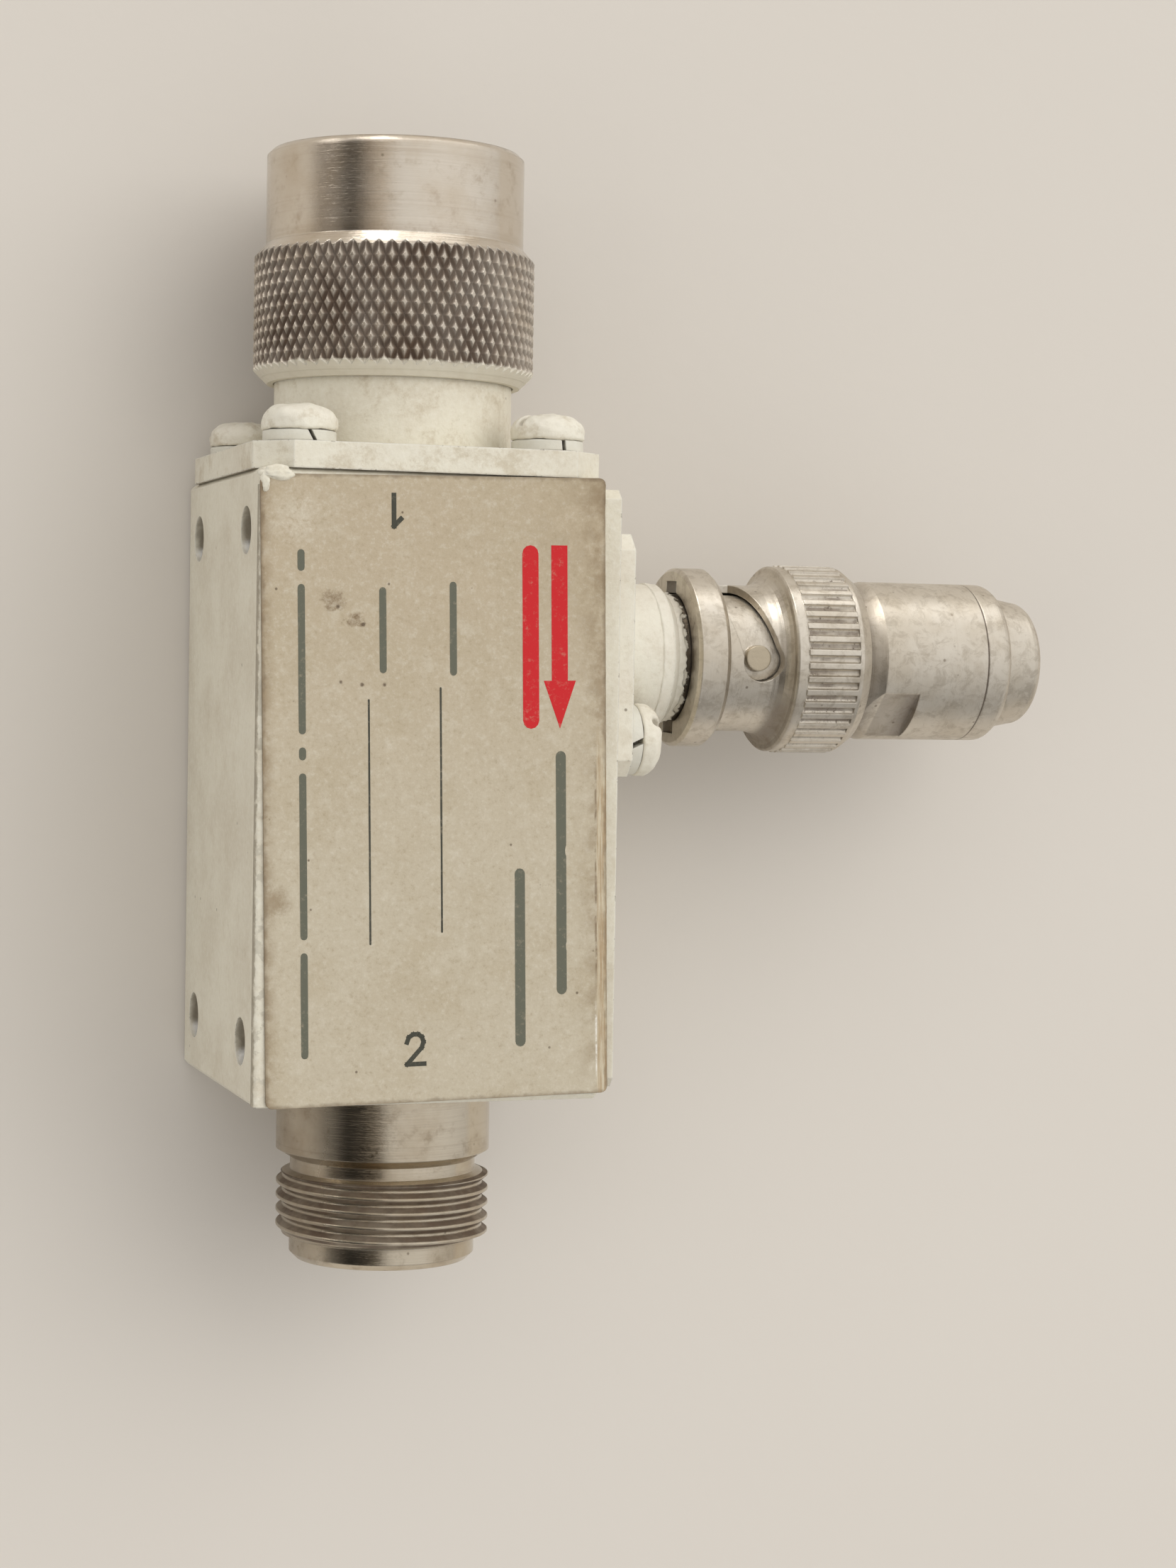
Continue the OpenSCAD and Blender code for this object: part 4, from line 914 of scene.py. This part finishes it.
def split_washers():
    """The flange's lock washers, each cut by a slanted gap; the angle runs from the front to the right."""
    bm = bmesh.new()
    outer, inner, gap, bevel, count = 2.6, 1.52, 0.3, 0.1, 72
    base, thick = WASHER_LOW.y, WASHER_HIGH.y - WASHER_LOW.y
    section = ((inner, 0.0), (outer - bevel, 0.0), (outer, bevel),
               (outer, thick - bevel), (outer - bevel, thick), (inner, thick))
    # Side, face, angle of the gap in degrees and its slant
    splits = ((-1, 1, 8.0, -0.55), (1, 1, 10.0, -0.1), (1, -1, 160.0, -0.4), (-1, -1, 200.0, -0.4))
    for side, face, degrees, slant in splits:
        rings = []
        for i in range(count + 1):
            ring = []
            for radius, up in section:
                lean = slant * (up - thick / 2)
                start = math.radians(degrees) + (lean + gap / 2) / radius
                stop = math.radians(degrees) + 2.0 * math.pi + (lean - gap / 2) / radius
                angle = start + (stop - start) * i / count
                ring.append(bm.verts.new((side * FLANGE_PITCH / 2 + radius * math.sin(angle), base + up,
                                          LINE_Z + face * FLANGE_PITCH / 2 + radius * math.cos(angle))))
            rings.append(ring)
        tube(bm, rings)
    piece = add_piece("flange_washers_split", bm, WASHER, "coupler", 30.0)
    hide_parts("flange_lock_washers")


def ragged_paint_edge():
    """The crumbling end of the paint where the port's neck meets its barrel."""
    neck_r, drop, steps = 5.51, 0.62, 16
    start, shoulder, finish = MOUTH - 2.4, MOUTH - 1.7, MOUTH - 0.48

    def end(angle):
        wide = noise.noise((math.cos(angle) * 2.6, math.sin(angle) * 2.6, 1.0))
        fine = noise.noise((math.cos(angle) * 9.0, math.sin(angle) * 9.0, 5.0))
        return finish + 0.2 * wide + 0.36 * fine

    def crumb(angle, x, size):
        return noise.noise((math.cos(angle) * size, math.sin(angle) * size, x * 2.6))

    def skin(part):
        def at(angle):
            x = start + (end(angle) - start) * part
            fall = min(max((x - shoulder) / 0.55, 0.0), 1.0)
            radius = neck_r - drop * (1.0 - math.cos(fall * math.pi / 2.0))
            lump = 0.05 + 0.07 * crumb(angle, x, 6.0) + 0.1 * fall * max(crumb(angle, x, 13.0), -0.3)
            return radius + max(lump, 0.01), x
        return at

    rows = [level(neck_r - 0.21, start - 0.15)] + [skin(i / steps) for i in range(steps + 1)]
    rows += [lambda angle: (4.8, end(angle) + 0.03), lambda angle: (4.6, end(angle) - 0.3)]
    add_piece("port_paint_edge", lathe(rows, 240, about_port), PORT_EDGE, "coupler", 70.0)


def front_edge_paint():
    """Thick paint, chipped along its rim, on the front left edge that the skewed label leaves bare."""
    bm = bmesh.new()
    count = 320
    low, high = LOWER_END + 0.125, UPPER_END - 1.225
    rings = []
    for i in range(count + 1):
        y = low + (high - low) * i / count
        rough = noise.noise((y * 0.45, 2.0, 0.0)) + 0.6 * noise.noise((y * 1.7, 5.0, 0.0))
        chip = 0.5 * max(rough - 0.15, 0.0) + 0.03 * noise.noise((y * 4.0, 9.0, 0.0))
        rim = 0.04 + max(chip, 0.0)
        lift = 0.02 * noise.noise((y * 0.8, 7.0, 0.0))
        # Distances from the left side and from the front
        outline = ((0.2, -0.9), (0.01, -0.65), (rim, -0.13), (rim + 0.09, lift), (0.5, 0.05 + lift),
                   (1.2, 0.05), (1.2, -0.2))
        rings.append([bm.verts.new((LEFT + across, y, FRONT + out)) for across, out in outline])
    tube(bm, rings)
    add_piece("front_edge_paint", bm, EDGE, "coupler", 50.0)


jack_body()
nut_thread()
label_sheet()
front_edge_paint()
painted_copy("flange_screws_painted", "flange_screws", 0.1, 1, (0.0, 0.0, LINE_Z), FLANGE_PITCH / 2)
painted_copy("port_screws_painted", "port_screws", 0.07, 0, (0.0, PORT_Y, LINE_Z), PORT_PITCH / 2)
split_washers()
ragged_paint_edge()
paint_drop("paint_drop_corner", (LEFT + 1.1, UPPER_END - 0.425, FRONT + 0.2), (1.2, 0.5, 0.36), 2.0)
paint_drop("paint_drop_run", (LEFT + 0.4, UPPER_END - 1.075, FRONT + 0.15), (0.36, 0.72, 0.3), 7.0)

ARROW = [(8.45, 17.2), (8.45, 7.6), (7.85, 7.6), (9.05, 4.2), (10.25, 7.6), (9.65, 7.6), (9.65, 17.2)]
ONE = [(-2.55, 18.95), (-3.05, 18.45), (-3.05, 20.6)]
TWO = [(-2.35, -17.75), (-2.22, -17.4), (-1.9, -17.2), (-1.55, -17.2), (-1.26, -17.4), (-1.15, -17.75),
       (-1.28, -18.15), (-2.35, -19.3), (-1.1, -19.3)]
prints("label_red_marks", [bar(6.9, 17.2, 1.2, 13.0), ARROW], RED_INK)
prints("label_grey_marks", [
    bar(9.1, 2.6, 0.75, 17.4),
    bar(6.0, -5.7, 0.75, 12.7),
    bar(1.2, 14.6, 0.5, 6.6),
    bar(-3.9, 14.2, 0.5, 6.0),
    *row_of_bars(-9.7, 16.8, 0.5, (1.5, 10.4, 0.9, 11.6, 7.4), 0.9),
], GREY_INK)
prints("label_dark_marks", [
    bar(0.25, 7.2, 0.14, 17.3),
    bar(-4.95, 6.4, 0.14, 17.2),
    *stroke(ONE, 0.34),
    *stroke(TWO, 0.32),
], DARK_INK)


# Stage

def floor():
    """A wide pale board, a hair below the block's back."""
    half_size, below = 40.0, 0.00002
    bm = bmesh.new()
    bmesh.ops.create_grid(bm, x_segments=1, y_segments=1, size=half_size)
    mesh = bpy.data.meshes.new("floor")
    bm.to_mesh(mesh)
    bm.free()
    look = Look("floor_board")
    colour = look.mix(look.noise(0.012, 4.0), srgb(210, 204, 196), srgb(215, 210, 203))
    relief = look.bump(look.noise(0.6, 3.0), 0.02)
    board = look.surface(Base_Color=colour, Roughness=0.85, Specular_IOR_Level=0.0, Normal=relief)
    mesh.materials.append(board)
    obj = bpy.data.objects.new("floor", mesh)
    obj.location.z = -below
    scene.collection.objects.link(obj)


def flag_card():
    """A dark card at the left that only reflections see, for the dark bands in the metal."""
    radius, lowest, steps = 0.4, 0.002, 4

    def at(y, degrees):
        angle = math.radians(degrees)
        return (radius * math.sin(angle), y, max(LINE_Z * MM + radius * math.cos(angle), lowest))

    # The tone at each angle from the card's top to its foot, then where along the line each set holds
    jack = ((-10, 0.5), (-14, 0.2), (-34, 0.03), (-60, 0.01), (-70, 0.09), (-85, 0.16), (-104, 0.24))
    plug = ((-20, 1.0), (-40, 0.5), (-47, 0.13), (-61, 0.1), (-64, 0.34), (-85, 0.4), (-100, 0.46))
    rows = [(-1.2, jack), (-0.06, jack), (0.02, plug), (0.24, plug)]
    verts, tones, faces = [], [], []
    for y, stops in rows:
        for (angle0, tone0), (angle1, tone1) in zip(stops, stops[1:]):
            for k in range(steps + 1):
                part = k / steps
                shade = tone0 + (tone1 - tone0) * part
                verts.append(at(y, angle0 + (angle1 - angle0) * part))
                tones += [shade, shade * 0.95, shade * 0.9, 1.0]
    count = len(verts) // len(rows)
    for j in range(len(rows) - 1):
        for k in range(count - 1):
            first = count * j + k
            if k % (steps + 1) < steps:
                faces.append((first, first + 1, first + count + 1, first + count))
    mesh = bpy.data.meshes.new("flag_card")
    mesh.from_pydata(verts, [], faces)
    mesh.color_attributes.new("tone", "FLOAT_COLOR", "POINT").data.foreach_set("color", tones)
    look = Look("flag_cloth")
    tone = look.add("ShaderNodeAttribute", attribute_name="tone").outputs["Color"]
    mesh.materials.append(look.surface(Base_Color=tone, Roughness=0.95))
    card = bpy.data.objects.new("flag_card", mesh)
    scene.collection.objects.link(card)
    card.visible_camera = card.visible_diffuse = card.visible_shadow = card.visible_transmission = False


def area_light(name, place, aim, size, power):
    """A soft lamp, slightly warm."""
    lamp = bpy.data.lights.new(name, "AREA")
    lamp.shape = "RECTANGLE"
    lamp.size, lamp.size_y = size
    lamp.energy = power
    lamp.color = (1.0, 0.983, 0.955)
    obj = bpy.data.objects.new(name, lamp)
    obj.location = place
    obj.rotation_euler = (Vector(aim) - Vector(place)).to_track_quat("-Z", "Y").to_euler()
    scene.collection.objects.link(obj)
    return obj


def studio():
    """Soft light from all round, a little stronger from the upper right."""
    upper_right = (0.3, 0.77, 0.52)
    facing, strengths = (-0.2, 0.95), (0.43, 1.08)
    world = bpy.data.worlds.new("studio")
    world.use_nodes = True
    tree = world.node_tree
    light = tree.nodes["Background"]
    light.inputs["Color"].default_value = (1.0, 0.975, 0.94, 1.0)
    way = tree.nodes.new("ShaderNodeTexCoord")
    side = tree.nodes.new("ShaderNodeVectorMath")
    side.operation = "DOT_PRODUCT"
    side.inputs[1].default_value = upper_right
    strength = tree.nodes.new("ShaderNodeMapRange")
    for socket, number in zip(strength.inputs[1:5], (*facing, *strengths)):
        socket.default_value = number
    # The camera sees the far floor's own tone above the horizon
    far = tree.nodes.new("ShaderNodeBackground")
    far.inputs["Color"].default_value = srgb(190, 182, 171)
    seen = tree.nodes.new("ShaderNodeLightPath")
    either = tree.nodes.new("ShaderNodeMixShader")
    for output, socket in ((way.outputs["Generated"], side.inputs[0]),
                           (side.outputs["Value"], strength.inputs[0]),
                           (strength.outputs[0], light.inputs["Strength"]),
                           (seen.outputs["Is Camera Ray"], either.inputs[0]),
                           (light.outputs[0], either.inputs[1]),
                           (far.outputs[0], either.inputs[2]),
                           (either.outputs[0], tree.nodes["World Output"].inputs["Surface"])):
        tree.links.new(output, socket)
    scene.world = world


def photo_camera():
    """The camera fitted to the photograph, which holds the line upright but for a slight roll."""
    place = Vector((-57.249, 8.182, 230.566)) * MM
    aim = Vector((15.709, -0.044, 12.7)) * MM
    roll = math.radians(0.929)
    camera = bpy.data.cameras.new("camera")
    camera.sensor_fit = "VERTICAL"
    camera.sensor_height = 36.0
    camera.lens = 69.48
    camera.clip_start = 0.01
    back = (place - aim).normalized()
    right = Vector((0.0, 1.0, 0.0)).cross(back).normalized()
    turned = Matrix((right, back.cross(right), back)).transposed().to_4x4()
    eye = bpy.data.objects.new("camera", camera)
    eye.matrix_world = Matrix.Translation(place) @ turned @ Matrix.Rotation(roll, 4, "Z")
    scene.collection.objects.link(eye)
    scene.camera = eye


floor()
flag_card()
# Windows that only reflections show: name, place, aim, size and power
for lamp in (area_light("window", (-0.24, 0.95, 0.24), (0.0, 0.02, 0.012), (0.36, 0.4), 2.6),
             area_light("far_window", (0.3, 1.1, 0.15), (0.02, 0.01, 0.012), (1.3, 0.26), 1.05),
             area_light("left_window", (-0.8, 0.56, 0.14), (0.02, 0.01, 0.012), (0.4, 0.3), 1.3)):
    lamp.visible_diffuse = lamp.visible_camera = False
# Lamps that only light the surfaces
for lamp in (area_light("key", (1.05, 0.85, 1.3), (0.0, 0.0, 0.01), (1.8, 1.8), 13.5),
             area_light("side", (-1.2, -0.3, 0.8), (0.0, 0.0, 0.01), (1.0, 1.0), 2.6),
             area_light("fill", (0.25, -1.1, 0.62), (0.02, 0.0, 0.012), (1.5, 1.1), 1.5)):
    lamp.visible_glossy = lamp.visible_camera = False
studio()
photo_camera()

scene.view_settings.view_transform = "Standard"
